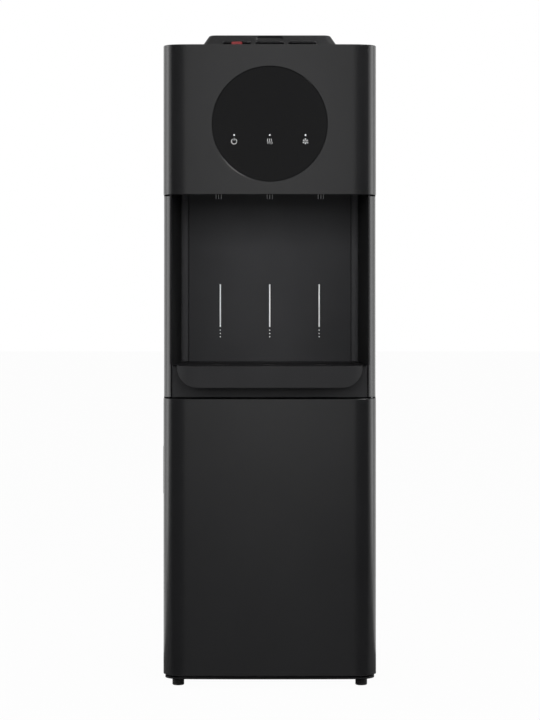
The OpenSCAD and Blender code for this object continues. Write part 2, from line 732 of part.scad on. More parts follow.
module bottle_probe() {
  z0 = cold_z1 - 10;
  z1 = funnel_z + probe_h;
  color(white) translate([0, bottle_y, 0]) difference() {
    union() {
      rotate_extrude() {
        translate([probe_r - 2, z0]) square([2, z1 - 6 - z0]);
        translate([probe_r - 1, funnel_z + seal_t]) square([7, 2]);
      }
      translate([0, 0, z1 - 6]) cylinder(h = 6, r1 = probe_r, r2 = probe_r - 4);
    }
    for (a = [0, 60, 120]) translate([0, 0, z1 - 14]) rotate([90, 0, a])
      cylinder(h = 4 * probe_r, r = 2.5, center = true);
  }
}

// Keys, child lock, rods, springs and valves
cap_z = deck_z1 + key_rise;
guide_z0 = deck_z0 - guide_h;
stem_z0 = guide_z0 - seat_gap - 2;
lock_y = key_y - 4.5;
lock_z = cap_z - 3;
lock_l = 14;
socket_z = cap_z - 5;
module key(with_lock) {
  difference() {
    union() {
      translate([-key_w / 2, key_y, cap_z]) cube([key_w, key_d, key_t]);
      key_box(0, stem_z0, cap_z - stem_z0 + cut);
      key_box(guide_t, stem_z0, 2);
    }
    difference() {
      key_box(-guide_t, stem_z0 - cut, socket_z - stem_z0 + cut);
      translate([0, rod_y, stem_z0]) cylinder(h = socket_z - stem_z0 + cut, r = rod_r + 2.5);
    }
    translate([0, rod_y, stem_z0 - cut]) cylinder(h = socket_z - stem_z0 + cut, r = rod_r + pin_gap);
    if (with_lock) translate([-lock_w / 2 - run_gap, lock_y - cut, lock_z - run_gap])
      cube([lock_w + 2 * run_gap, lock_l + lock_travel + run_gap + cut, lock_h + 2 * run_gap]);
  }
}
module at_key(k) { translate([key_x[k], 0, 0]) children(); }
module hot_key() { color(black) at_key(0) key(true); }
module room_key() { color(black) at_key(1) key(false); }
module cold_key() { color(black) at_key(2) key(false); }
module child_lock() {
  color(red) at_key(0) translate([0, lock_y + lock_l, lock_z + lock_h / 2]) rotate([90, 0, 0])
    linear_extrude(lock_l) {
      square([lock_w - lock_h, lock_h], center = true);
      for (s = [0, 1]) mirror([s, 0]) translate([lock_w / 2 - lock_h / 2, 0]) intersection() {
        circle(d = lock_h);
        translate([0, -lock_h]) square(2 * lock_h);
      }
    }
}
valve_z0 = ceil_z1 + 72;
valve_z1 = valve_z0 + valve_h;
inlet_z = valve_z1 - 11;
valve_seat_z = valve_z0 + 16;
spring_l = 16;
spring_gap = 0.2;
spring_coil_r = rod_r + spring_wire_r + 1;
spring_z0 = valve_z1 + spring_gap + spring_wire_r;
spring_pitch = (spring_l - 2 * spring_gap - 2 * spring_wire_r) / spring_turns;
collar_rod_z = valve_z1 + spring_l;
module push_rod() {
  translate([0, rod_y, 0]) {
    translate([0, 0, valve_seat_z - seat_gap - 3]) cylinder(h = 3, r = rod_r + 4);
    translate([0, 0, valve_seat_z - seat_gap - 1]) cylinder(h = socket_z - valve_seat_z, r = rod_r);
    translate([0, 0, collar_rod_z]) cylinder(h = 2, r = rod_r + 3);
  }
}
module hot_push_rod() { color(white) at_key(0) push_rod(); }
module room_push_rod() { color(white) at_key(1) push_rod(); }
module cold_push_rod() { color(white) at_key(2) push_rod(); }
spring_points = helix(spring_coil_r, spring_z0, spring_pitch, spring_turns, 8);
echo(spring_gap_mm = least_gap(spring_points, spring_wire_r, 6));
module return_spring() {
  translate([0, rod_y, 0]) tube(spring_points, spring_wire_r, 0, 6, [0, 0, 1]);
}
module hot_return_spring() { color(steel) at_key(0) return_spring(); }
module room_return_spring() { color(steel) at_key(1) return_spring(); }
module cold_return_spring() { color(steel) at_key(2) return_spring(); }
barb_l = 10;
barb_bore = barb_r - 1.2;
bracket_t = 2;
module tap_valve() {
  inlet_y = valve_r + barb_l;
  translate([0, rod_y, 0]) difference() {
    union() {
      translate([0, 0, valve_z0]) cylinder(h = valve_h, r = valve_r);
      translate([0, 0, valve_z0 - bracket_t - barb_l]) cylinder(h = bracket_t + barb_l + cut, r = barb_r);
      translate([0, 0, inlet_z]) rotate([-90, 0, 0]) cylinder(h = inlet_y, r = barb_r);
    }
    translate([0, 0, valve_z0 + 3]) cylinder(h = 13, r = valve_r - 3);
    translate([0, 0, valve_seat_z - cut]) cylinder(h = 2 + 2 * cut, r = rod_r + 2);
    translate([0, 0, valve_seat_z + 2]) cylinder(h = valve_h - 22, r = valve_r - 3);
    translate([0, 0, valve_z1 - 4 - cut]) cylinder(h = 4 + 2 * cut, r = rod_r + pin_gap);
    translate([0, 0, valve_z0 - bracket_t - barb_l - cut])
      cylinder(h = bracket_t + barb_l + 3 + 2 * cut, r = barb_bore);
    translate([0, 0, inlet_z]) rotate([-90, 0, 0]) cylinder(h = inlet_y + cut, r = barb_bore);
  }
}
module tap_valves() { color(white) for (k = [0:2]) at_key(k) tap_valve(); }
module valve_bracket() {
  w = 2 * key_pitch + 2 * valve_r + 4;
  color(steel) difference() {
    union() {
      translate([-w / 2, rod_y - valve_r, valve_z0 - bracket_t]) cube([w, 2 * valve_r, bracket_t]);
      for (s = [-1, 1]) translate([s * key_pitch / 2 - 1, rod_y - valve_r, ceil_z1])
        cube([2, 2 * valve_r, valve_z0 - bracket_t - ceil_z1 + 1]);
    }
    for (x = key_x) translate([x, rod_y, valve_z0 - bracket_t - cut])
      cylinder(h = bracket_t + 2 * cut, r = barb_r + seat_gap);
  }
}

// Spouts and their hoses
spout_z0 = bay_z1 - spout_drop;
spout_flange_t = 2.5;
hose_ri = (barb_r + 0.1) / cos(180 / 8);
module spouts() {
  color(dark) for (x = spout_x) translate([x, spout_y, 0]) difference() {
    union() {
      translate([0, 0, spout_z0]) cylinder(h = ceil_z1 - spout_z0 + cut, r = spout_r);
      translate([0, 0, ceil_z1]) cylinder(h = spout_flange_t, r = spout_r + 4);
      translate([0, 0, ceil_z1]) cylinder(h = spout_flange_t + barb_l, r = barb_r);
    }
    translate([0, 0, spout_z0 - cut]) cylinder(h = ceil_z1 + 20 - spout_z0, r = barb_bore);
  }
}
// Control points of a hose: straight over the barb at each end, free in between
function hose_points(a, da, mids, b, db) = concat(
  [a, a + (barb_l + 2) * da, a + (2 * barb_l) * da], mids, [b - (2 * barb_l) * db, b - (barb_l + 2) * db, b]);
module hose(points, ref) { tube(route(points, 2), hose_ri + hose_t, hose_ri, 8, ref); }
down = [0, 0, -1];
forward = [0, -1, 0];
module spout_hoses() {
  color(clear_hose) for (k = [0:2])
    hose(hose_points([key_x[k], rod_y, valve_z0 - bracket_t - seat_gap], down, [],
      [spout_x[k], spout_y, ceil_z1 + spout_flange_t + seat_gap], down), [1, 0.3, 0]);
}

// Cold tank, coil, foam and shelf
shelf_z1 = ceil_z1 + 5;
cold_z0 = shelf_z1 + cold_foam_t;
coil_mid_r = cold_r + coil_r + 0.6;
foam_ri = coil_mid_r + coil_r + 0.6;
foam_ro = foam_ri + cold_foam_t;
cold_out_z = cold_z0 + 8;
coil_z0 = cold_out_z + 12;
coil_pitch = (inlet_z - 12 - coil_z0) / coil_turns;
stub_y = bottle_y - foam_ro - barb_l - 2;
inlet_tip_y = rod_y + valve_r + barb_l;
feed_place = [36, bottle_y + 30];
// Water connections of the cold tank, grown by a clearance for the holes round them
module cold_stubs(grow) {
  translate([key_x[2], bottle_y - cold_r / 2, cold_out_z]) rotate([90, 0, 0])
    cylinder(h = bottle_y - cold_r / 2 - stub_y, r = barb_r + grow);
  translate([key_x[1], bottle_y - cold_r + tank_t / 2, inlet_z]) rotate([90, 0, 0])
    cylinder(h = bottle_y - cold_r + tank_t / 2 - stub_y, r = barb_r + grow);
  translate([feed_place.x, feed_place.y, shelf_z1 - barb_l - 4])
    cylinder(h = cold_z0 - shelf_z1 + barb_l + 4 + tank_t / 2, r = barb_r + grow);
}
module cold_tank() {
  color(steel) difference() {
    union() {
      translate([0, bottle_y, cold_z0]) cylinder(h = cold_z1 - cold_z0, r = cold_r);
      cold_stubs(0);
    }
    translate([0, bottle_y, cold_z0 + tank_t]) cylinder(h = cold_z1 - cold_z0 - 2 * tank_t, r = cold_r - tank_t);
    translate([0, bottle_y, cold_z1 - 2 * tank_t]) cylinder(h = 3 * tank_t, r = probe_r + 2);
  }
}
coil_points = helix(coil_mid_r, coil_z0, coil_pitch, coil_turns, 24);
echo(coil_gap_mm = least_gap(coil_points, coil_r, 18));
module evaporator_coil() {
  color(copper) translate([0, bottle_y, 0]) tube(coil_points, coil_r, 0, 6, [0, 0, 1]);
}
module cold_tank_foam() {
  color(foam) difference() {
    translate([0, bottle_y, shelf_z1]) difference() {
      cylinder(h = cold_z1 - shelf_z1, r = foam_ro);
      translate([0, 0, cold_foam_t]) cylinder(h = cold_z1, r = foam_ri);
    }
    cold_stubs(seat_gap);
  }
}
shelf_y = bottle_y - foam_ro;
module tank_shelf() {
  x = half_w - sheet_t - seat_gap;
  l = 2 * foam_ro + 10;
  color(steel) difference() {
    union() {
      translate([-x, shelf_y, shelf_z1 - sheet_t]) cube([2 * x, l, sheet_t]);
      for (s = [-1, 1]) translate([s * (x - sheet_t / 2) - sheet_t / 2, shelf_y, shelf_z1 - 15])
        cube([sheet_t, l, 15]);
    }
    cold_stubs(seat_gap);
    translate([-half_w + 14, bottle_y + 20, shelf_z1 - 3 * sheet_t]) cube([34, l, 5 * sheet_t]);
  }
}

// Hot tank on its plate behind the bay
hot_y = (bay_depth + shell_t + body_d - sheet_t) / 2;
plate_z1 = bay_z0 + 8;
hot_z0 = plate_z1 + hot_foam_t;
hot_z1 = hot_z0 + hot_h;
hot_ro = hot_r + 0.4 + hot_foam_t;
hot_top = [-22, hot_y];
hot_side_z = hot_z0 + 10;
// Water connections of the hot tank: outlet at the top, feed on the right, drain on the left
module hot_stubs(grow) {
  translate([hot_top.x, hot_top.y, hot_z1 - tank_t / 2])
    cylinder(h = hot_foam_t + barb_l + 2, r = barb_r + grow);
  for (s = [0, 1]) mirror([s, 0, 0]) translate([hot_r - tank_t / 2, hot_y, hot_side_z]) rotate([0, 90, 0])
    cylinder(h = hot_foam_t + barb_l + 2, r = barb_r + grow);
}
module hot_tank() {
  color(steel) difference() {
    union() {
      translate([0, hot_y, hot_z0]) cylinder(h = hot_h, r = hot_r);
      hot_stubs(0);
    }
    translate([0, hot_y, hot_z0 + tank_t]) cylinder(h = hot_h - 2 * tank_t, r = hot_r - tank_t);
  }
}
module hot_tank_lagging() {
  color(foam) difference() {
    translate([0, hot_y, plate_z1]) cylinder(h = hot_h + 2 * hot_foam_t, r = hot_ro);
    translate([0, hot_y, hot_z0]) cylinder(h = hot_h + 0.4, r = hot_r + 0.4);
    hot_stubs(seat_gap);
  }
}
module tank_plate() {
  x = half_w - sheet_t - seat_gap;
  y0 = bay_depth + 2 * shell_t;
  y1 = body_d - 4 * sheet_t;
  color(steel) difference() {
    union() {
      translate([-x, y0, plate_z1 - sheet_t]) cube([2 * x, y1 - y0, sheet_t]);
      for (s = [-1, 1]) translate([s * (x - sheet_t / 2) - sheet_t / 2, y0, plate_z1 - 15])
        cube([sheet_t, y1 - y0, 15]);
    }
    translate([suction_x - 10, y1 - 40, plate_z1 - 3 * sheet_t]) cube([20, 50, 5 * sheet_t]);
  }
}
drain_r = 7;
drain_place = [-half_w + 26, hot_side_z - 2];
drain_l = 12;
drain_y = body_d - 30;
module drain_outlet() {
  color(white) translate([drain_place.x, drain_y, drain_place.y]) rotate([-90, 0, 0]) difference() {
    union() {
      cylinder(h = 30 - sheet_t - 4, r = barb_r);
      translate([0, 0, barb_l + 2]) cylinder(h = 18 + drain_l - 4, r = drain_r);
      translate([0, 0, 30]) cylinder(h = 2, r = drain_r + 3);
    }
    translate([0, 0, -cut]) cylinder(h = 80, r = barb_bore);
  }
}
module drain_cap() {
  color(rubber) through_rear(drain_place) difference() {
    translate([0, 0, 2 + seat_gap]) cylinder(h = drain_l, r = drain_r + 3);
    translate([0, 0, 2]) cylinder(h = drain_l - 3, r = drain_r + run_gap);
  }
}

// Water hoses between the tanks, the valves and the drain
lag_tip = hot_r - tank_t / 2 + hot_foam_t + barb_l + 2;
side_run_x = -half_w + 30;
module water_hoses() {
  tip = 3;
  color(clear_hose) {
    hose(hose_points([hot_top.x, hot_top.y, hot_z1 + hot_foam_t + tip], [0, 0, 1],
      [[side_run_x + 30, hot_y - 10, hot_z1 + 60], [side_run_x, hot_y - 30, shelf_z1 - 30],
       [side_run_x, bottle_y + 50, shelf_z1 + 40], [side_run_x, bottle_y - 30, inlet_z - 30],
       [side_run_x + 10, stub_y, inlet_z], [key_x[0] - 30, stub_y - 4, inlet_z]],
      [key_x[0], inlet_tip_y - barb_l + tip, inlet_z], forward), [1, 0.2, 0.1]);
    hose([[key_x[1], bottle_y - foam_ro - tip, inlet_z], [key_x[1], inlet_tip_y - barb_l + tip, inlet_z]],
      [1, 0, 0]);
    hose(hose_points([key_x[2], bottle_y - foam_ro - tip, cold_out_z], forward,
      [[key_x[2], stub_y - 14, (cold_out_z + inlet_z) / 2]],
      [key_x[2], inlet_tip_y - barb_l + tip, inlet_z], forward), [1, 0, 0]);
    hose(hose_points([feed_place.x, feed_place.y, shelf_z1 - sheet_t - tip], down,
      [[feed_place.x + 30, hot_y - 20, shelf_z1 - 60], [lag_tip + 26, hot_y, hot_z1],
       [lag_tip + 30, hot_y, hot_side_z + 40], [lag_tip + 28, hot_y, hot_side_z]],
      [hot_ro + tip, hot_y, hot_side_z], [-1, 0, 0]), [0.2, 1, 0.1]);
    hose(hose_points([-hot_ro - tip, hot_y, hot_side_z], [-1, 0, 0], [],
      [drain_place.x, drain_y + barb_l, drain_place.y], [0, 1, 0]), [0.1, 0.1, 1]);
  }
}

// Compressor, condenser and refrigerant lines
can_y = hot_y;
mount_h = 12;
mount_stem_r = 3;
mount_places = [for (x = [-1, 1], y = [-1, 1]) [x * (can_r + 4), can_y + y * (can_r - 16)]];
can_z = base_z1 + mount_h;
can_top = can_z + 2.5 + can_h;
module compressor() {
  color(dark) difference() {
    union() {
      translate([-can_r - 16, can_y - can_r + 4, can_z]) cube([2 * can_r + 32, 2 * can_r - 8, 2.5]);
      translate([0, can_y, can_z + 2]) rotate_extrude() polygon([[0, 0], [can_r - 10, 0], [can_r - 2, 8],
        [can_r, 20], [can_r, can_h / 2], [can_r + 2, can_h / 2], [can_r + 2, can_h / 2 + 4],
        [can_r, can_h / 2 + 4], [can_r, can_h - 24], [can_r - 8, can_h - 8], [can_r - 26, can_h], [0, can_h]]);
      translate([-can_r - 14, can_y - 20, can_z + 30]) cube([30, 40, 50]);
      for (s = [-1, 1]) translate([s * 30, can_y, can_top - 6]) cylinder(h = 12, r = 4);
    }
    for (p = mount_places) translate([p.x, p.y, can_z - cut]) cylinder(h = 5, r = mount_stem_r + seat_gap);
  }
}
module compressor_mounts() {
  color(rubber) for (p = mount_places) translate([p.x, p.y, 0]) {
    translate([0, 0, base_z1]) cylinder(h = mount_h, r = 8);
    translate([0, 0, foot_h]) cylinder(h = can_z + 5 - foot_h, r = mount_stem_r);
    translate([0, 0, can_z + 2.5]) cylinder(h = 3, r = 6);
  }
}
wire_t = 1.4;
run_y = body_d + condenser_d - wire_t - 0.1 - condenser_r;
run_z0 = rear_z0 + 45;
run_z1 = run_z0 + (condenser_runs - 1) * condenser_pitch;
module condenser_tube() {
  color(dark) translate([0, run_y, run_z0]) for (k = [0:condenser_runs - 1]) translate([0, 0, k * condenser_pitch]) {
    rotate([0, 90, 0]) cylinder(h = condenser_run_l, r = condenser_r, center = true);
    if (k < condenser_runs - 1) mirror([k % 2, 0, 0])
      translate([condenser_run_l / 2, 0, condenser_pitch / 2]) rotate([90, 0, 0]) rotate([0, 0, -90])
        rotate_extrude(angle = 180) translate([condenser_pitch / 2, 0]) circle(condenser_r);
  }
}
net_w = condenser_run_l + condenser_pitch + 2 * condenser_r + 26;
net_z0 = run_z0 - 12;
net_h = run_z1 - run_z0 + 24;
bar = 1.6;
bracket_z = [net_z0 + 32, net_z0 + net_h - 32];
module condenser_wires() {
  pitch = (condenser_run_l - bar) / (wire_count - 1);
  color(dark) {
    translate([0, body_d + condenser_d, 0]) rotate([90, 0, 0]) linear_extrude(wire_t) {
      for (k = [0:wire_count - 1]) translate([k * pitch - condenser_run_l / 2, net_z0]) square([bar, net_h]);
      for (z = bracket_z) translate([-net_w / 2, z - 4]) square([net_w, 8]);
    }
    for (s = [-1, 1], z = bracket_z) translate([s * (net_w / 2 - 4) - 4, body_d, z - 4])
      cube([8, condenser_d, 8]);
  }
}
suction_x = half_w - 40;
riser_x = net_w / 2 + 8;
module refrigerant_lines() {
  line_r = 2.4;
  end_x = condenser_run_l / 2 + 0.1;
  color(copper) {
    tube(route([[30, can_y, can_top + 6.2], [30, can_y, can_top + 20], [60, can_y + 30, can_top + 24],
      [riser_x, body_d - 6, can_top + 12], [riser_x, run_y, can_top + 20], [riser_x, run_y, run_z0 + 60],
      [riser_x, run_y, run_z1 - 40], [riser_x, run_y, run_z1], [end_x + 14, run_y, run_z1],
      [end_x, run_y, run_z1]], 2), line_r, 0, 6, [0.2, 1, 0.1]);
    tube(route([[-end_x, run_y, run_z0], [-end_x - 12, run_y, run_z0], [-end_x - 14, run_y, can_top + 20],
      [-end_x - 10, body_d - 20, can_top + 10], [-end_x - 2, can_y + 40, can_top],
      [-end_x - 2, can_y + 40, can_top - 30]], 2), line_r, 0, 6, [0.2, 1, 0.1]);
    translate([-end_x - 2, can_y + 40, can_top - 100]) cylinder(h = 69.9, r = 9);
    tube(route([[0, bottle_y + foam_ro + 0.3, coil_z0], [0, bottle_y + foam_ro + 20, coil_z0],
      [suction_x - 30, body_d - 24, coil_z0 - 40], [suction_x, body_d - 22, hot_z1],
      [suction_x, body_d - 22, plate_z1], [suction_x - 20, body_d - 26, can_top + 80],
      [-30, can_y, can_top + 50], [-30, can_y, can_top + 24], [-30, can_y, can_top + 6.2]], 2),
      line_r, 0, 6, [0.2, 1, 0.1]);
  }
}

// Electrics
module control_box() {
  x = half_w - sheet_t - seat_gap;
  color(white) translate([x - 26, bottle_y + 44, shelf_z1 + 30]) cube([26, 76, 96]);
}
switch_w = 40;
switch_h = 26;
switch_place = [76, deck_z0 - 90];
rocker_w = 14;
rocker_h = 20;
rocker_pivot = 4;
module switch_frame() {
  color(rubber) through_rear(switch_place) difference() {
    union() {
      translate([-switch_w / 2, -switch_h / 2, -16]) cube([switch_w, switch_h, 17]);
      translate([-switch_w / 2 - 2, -switch_h / 2 - 2, 0]) cube([switch_w + 4, switch_h + 4, 2]);
    }
    for (s = [-1, 1]) translate([s * 9 - rocker_w / 2 - run_gap, -rocker_h / 2 - 1.2, -13])
      cube([rocker_w + 2 * run_gap, rocker_h + 2.4, 30]);
    translate([0, 0, -rocker_pivot]) rotate([0, 90, 0])
      cylinder(h = switch_w - 3, r = 1.5 + pin_gap, center = true);
  }
}
module rocker(s) {
  h = rocker_h / 2;
  through_rear(switch_place) translate([s * 9, 0, -rocker_pivot]) rotate([rocker_tilt, 0, 0]) {
    rotate([0, -90, 0]) linear_extrude(rocker_w, center = true)
      polygon([[-3, -h + 4], [5, -h], [9, -h], [6.5, 0], [9, h], [5, h], [-3, h - 4]]);
    rotate([0, 90, 0]) cylinder(h = rocker_w + 3, r = 1.5, center = true);
  }
}
module hot_rocker() { color(red) rocker(-1); }
module cold_rocker() { color(blue) rocker(1); }
gland_place = [-half_w + 26, rear_z0 + 22];
gland_r = cord_r + 3;
module cord_gland() {
  color(rubber) through_rear(gland_place) difference() {
    union() {
      translate([0, 0, -sheet_t - 2]) cylinder(h = 2 + sheet_t + 8, r = gland_r);
      cylinder(h = 2, r = gland_r + 3);
      translate([0, 0, -sheet_t - 2]) cylinder(h = 2, r = gland_r + 2);
    }
    translate([0, 0, -10]) cylinder(h = 30, r = cord_r);
  }
}

module placed() { translate([0, front_y, 0]) children(); }
placed() base_pan();
placed() feet();
placed() left_side_panel();
placed() right_side_panel();
placed() rear_panel();
placed() rear_screws();
placed() top_deck();
placed() upper_front_panel();
placed() display_disc();
placed() indicator_lights();
placed() indicator_board();
placed() dispensing_bay();
placed() flow_marks();
placed() drip_tray();
placed() drip_grille();
placed() cabinet_door();
placed() door_inner_panel();
placed() door_pull();
placed() hinge_pins();
placed() magnet_catch();
placed() strike_plate();
placed() cabinet_liner();
placed() bottle_collar();
placed() bottle_funnel();
placed() bottle_probe();
placed() probe_seal();
placed() hot_key();
placed() room_key();
placed() cold_key();
placed() child_lock();
placed() hot_push_rod();
placed() room_push_rod();
placed() cold_push_rod();
placed() hot_return_spring();
placed() room_return_spring();
placed() cold_return_spring();
placed() tap_valves();
placed() valve_bracket();
placed() spouts();
placed() spout_hoses();
placed() cold_tank();
placed() evaporator_coil();
placed() cold_tank_foam();
placed() hot_tank();
placed() hot_tank_lagging();
placed() water_hoses();
placed() tank_shelf();
placed() tank_plate();
placed() drain_outlet();
placed() drain_cap();
placed() compressor();
placed() compressor_mounts();
placed() condenser_tube();
placed() condenser_wires();
placed() refrigerant_lines();
placed() control_box();
placed() switch_frame();
placed() hot_rocker();
placed() cold_rocker();
placed() cord_gland();
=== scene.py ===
"""Looks of a floor-standing water dispenser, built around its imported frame."""

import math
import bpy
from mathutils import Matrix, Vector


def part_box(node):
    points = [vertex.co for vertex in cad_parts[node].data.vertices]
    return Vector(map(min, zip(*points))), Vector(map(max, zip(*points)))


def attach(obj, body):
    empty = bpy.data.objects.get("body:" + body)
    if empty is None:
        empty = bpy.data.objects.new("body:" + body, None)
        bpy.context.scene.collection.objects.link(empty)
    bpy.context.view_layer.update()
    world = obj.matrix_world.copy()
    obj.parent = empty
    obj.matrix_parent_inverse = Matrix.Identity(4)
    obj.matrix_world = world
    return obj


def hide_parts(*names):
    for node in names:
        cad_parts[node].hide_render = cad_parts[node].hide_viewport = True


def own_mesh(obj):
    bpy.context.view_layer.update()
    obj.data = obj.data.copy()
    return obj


bl_info = {
    "name": "Water Dispenser Looks",
    "version": (1, 0, 0),
    "blender": (4, 5, 0),
    "location": "View3D > Sidebar > Dispenser",
    "description": "Builds the visible pieces and finishes of a water dispenser on its frame",
    "category": "Object",
}

import bmesh
import bpy
from bpy.props import FloatProperty, FloatVectorProperty, IntProperty, PointerProperty
from bpy.types import NodeSocket, Operator, Panel, PropertyGroup
from mathutils import Vector

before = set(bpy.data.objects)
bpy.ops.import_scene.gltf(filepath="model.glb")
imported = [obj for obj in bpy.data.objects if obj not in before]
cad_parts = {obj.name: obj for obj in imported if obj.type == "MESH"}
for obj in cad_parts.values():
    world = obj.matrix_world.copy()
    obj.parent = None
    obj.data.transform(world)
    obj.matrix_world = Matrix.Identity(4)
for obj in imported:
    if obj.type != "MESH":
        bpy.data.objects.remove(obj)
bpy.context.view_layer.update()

MM = 0.001
# Tolerance for finding a vertex, an edge or a face by its place
TINY = 2e-5
# Share of a normal along an axis from which a face counts as looking that way
FACING = 0.9
# Share of an edge's length along an axis from which it counts as running that way
ALONG = 0.99
# How far a cutting tool stands past what it cuts
MARGIN = 10 * MM
# Depth of a drum that cuts a hole through a wall
THROUGH = 20 * MM
# Rounding of small and hidden edges
FINE = 0.4 * MM
# Gap round a piece that moves
PLAY = 0.4 * MM

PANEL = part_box("upper_front_panel")
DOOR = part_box("cabinet_door")
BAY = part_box("dispensing_bay")
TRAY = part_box("drip_tray")
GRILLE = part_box("drip_grille")
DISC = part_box("display_disc")
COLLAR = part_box("bottle_collar")
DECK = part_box("top_deck")
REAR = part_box("rear_panel")
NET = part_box("condenser_wires")
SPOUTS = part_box("spouts")
HALF_W = PANEL[1].x
FRONT_Y = PANEL[0].y
REAR_Y = REAR[1].y
KEY_BODIES = ("hot_key", "room_key", "cold_key")

# The door's hinge, across and behind the front face, and the bore for its pins
HINGE_X = 147 * MM
HINGE_DEPTH = 36 * MM
PIN_BORE = 3.06 * MM

# The spouts' flange, and where the spouts are across and from front to back
SPOUT_FLANGE = 8.8 * MM
SPOUT_REACH = SPOUTS[1].x - SPOUT_FLANGE
SPOUT_Y = (SPOUTS[0].y + SPOUTS[1].y) / 2


def length(name, description, default, low=0.0, high=2.0):
    return FloatProperty(
        name=name, description=description, default=default, min=low, max=high, unit="LENGTH"
    )


def colour(name, description, default):
    return FloatVectorProperty(
        name=name, description=description, default=default, size=3, min=0.0, max=1.0, subtype="COLOR"
    )


def factor(name, description, default, high=1.0):
    return FloatProperty(name=name, description=description, default=default, min=0.0, max=high)


def power(name, description, default, high):
    return FloatProperty(
        name=name, description=description, default=default, min=0, max=high, unit="POWER"
    )


class DispenserSizes(PropertyGroup):
    """Sizes of the visible mouldings"""

    corner_radius: length("Front corner", "Reach of the upright front corners", 36 * MM)
    corner_shape: factor("Corner shape", "0.5 rounds a corner as a circle and 1 leaves it square", 0.61)
    bow: length("Bow", "How far the middle of the front bows out", 2.5 * MM)
    bow_reach: length("Bow reach", "Distance from the middle at which the bow ends", 130 * MM)
    wrap_depth: length("Wrap", "Depth that the front wraps round the sides", PANEL[1].y - FRONT_Y)
    wall: length("Wall", "Wall of the front mouldings", 2.5 * MM)
    edge_round: length("Edge", "Rounding of the moulded edges", 0.8 * MM)
    bay_opening: length("Bay opening", "Width of the bay at the front", 284.8 * MM)
    bay_back: length("Bay back", "Width between the side walls at the back of the bay", 266 * MM)
    bay_depth: length("Bay depth", "Depth of the bay behind the front", 165 * MM)
    bay_cove: length("Bay cove", "Radius of the hollow upright corners at the back of the bay", 9 * MM)
    bay_step: length("Bay step", "How far the back wall stands in front of the bay's depth", 1.4 * MM)
    tray_corner: length("Tray corner", "Radius of the tray's front corners from above", 34 * MM)
    tray_round: length("Tray underside", "Radius of the tray's lower corners from the front", 30.7 * MM)
    tray_taper: length("Tray taper", "How much each side of the tray draws in to the back", 8.5 * MM)
    tray_wall: length("Tray wall", "Wall of the tray", 2.2 * MM)
    collar_lean: factor("Collar lean", "How far the collar leans in for its height", 0.635)
    mouth_radius: length("Bottle opening", "Radius of the opening for the bottle", 70 * MM)
    disc_gap: length("Disc gap", "Gap between the disc and its seat", 0.3 * MM)
    disc_sink: length("Disc sink", "How far the disc's face lies behind the front of its solid", 1.1 * MM)
    curve_steps: IntProperty(
        name="Corner steps", description="Facets of a rounded front corner", default=18, min=4, max=40
    )


class DispenserFinish(PropertyGroup):
    """Colours and finishes"""

    shell: colour("Shell", "Satin black of the front mouldings", (0.0084, 0.0085, 0.0091))
    bay: colour("Bay", "Matt black of the bay", (0.041, 0.041, 0.043))
    tray: colour("Tray", "Matt black of the tray", (0.0255, 0.0255, 0.0265))
    key: colour("Keys", "Satin black of the keys and the collar", (0.0105, 0.0105, 0.0112))
    disc: colour("Disc", "Gloss black of the display disc", (0.0025, 0.0025, 0.0028))
    lock: colour("Child lock", "Red of the child lock", (0.24, 0.016, 0.019))
    marks: colour("Marks", "Pale grey of the printed marks", (0.90, 0.91, 0.92))
    shell_roughness: factor("Shell roughness", "Roughness of the satin plastic", 0.25)
    grain: factor("Grain", "Strength of the moulded grain", 0.10)


class DispenserStage(PropertyGroup):
    """Camera and light"""

    distance: length("Distance", "Camera distance from the front face", 3.2, 0.5, 20.0)
    height: length("Height", "Camera height above the floor", 0.5913, 0.0, 5.0)
    lens: FloatProperty(
        name="Lens", description="Focal length", default=110.8, min=20, max=400, unit="CAMERA"
    )
    sky: factor("Sky", "Strength of the even light on the object", 0.24, 5.0)
    strip_power: power("Side strips", "Power of each side strip light", 8.0, 500)
    front_power: power("Front light", "Power of the wide front light", 225.0, 900)


def sizes():
    return bpy.context.scene.dispenser_sizes


def finishes():
    return bpy.context.scene.dispenser_finish


# Modelling helpers


def clear():
    """Leave edit mode and deselect everything."""
    if bpy.context.object and bpy.context.object.mode != "OBJECT":
        bpy.ops.object.mode_set(mode="OBJECT")
    bpy.ops.object.select_all(action="DESELECT")


def activate(piece):
    clear()
    piece.select_set(True)
    bpy.context.view_layer.objects.active = piece


def settle(name):
    """Name the active piece and move its place into its mesh."""
    piece = bpy.context.object
    piece.name = name
    piece.data.name = name
    bpy.ops.object.transform_apply(location=True, rotation=True, scale=True)
    return piece


def put(piece, location=(0, 0, 0), turn=(0, 0, 0), scale=(1, 1, 1)):
    """Scale, turn and move a piece, and keep the change in its mesh."""
    activate(piece)
    piece.location = location
    piece.rotation_euler = turn
    piece.scale = scale
    return settle(piece.name)


def block(name, low, high):
    clear()
    low, high = Vector(low), Vector(high)
    bpy.ops.mesh.primitive_cube_add(size=1, location=(low + high) / 2)
    bpy.context.object.scale = high - low
    return settle(name)


def drum(name, radius, centre, depth, axis="Z", sides=32):
    clear()
    turn = (math.pi / 2, 0, 0) if axis == "Y" else (0, 0, 0)
    bpy.ops.mesh.primitive_cylinder_add(
        vertices=sides, radius=radius, depth=depth, location=centre, rotation=turn
    )
    return settle(name)


def choose(piece, mode, test):
    """In edit mode, select the vertices, edges or faces that pass a test."""
    bpy.ops.mesh.select_mode(type=mode)
    bpy.ops.mesh.select_all(action="DESELECT")
    mesh = bmesh.from_edit_mesh(piece.data)
    mesh.normal_update()
    for item in {"VERT": mesh.verts, "EDGE": mesh.edges, "FACE": mesh.faces}[mode]:
        if test(item):
            item.select_set(True)
    mesh.select_flush_mode()
    bmesh.update_edit_mesh(piece.data)


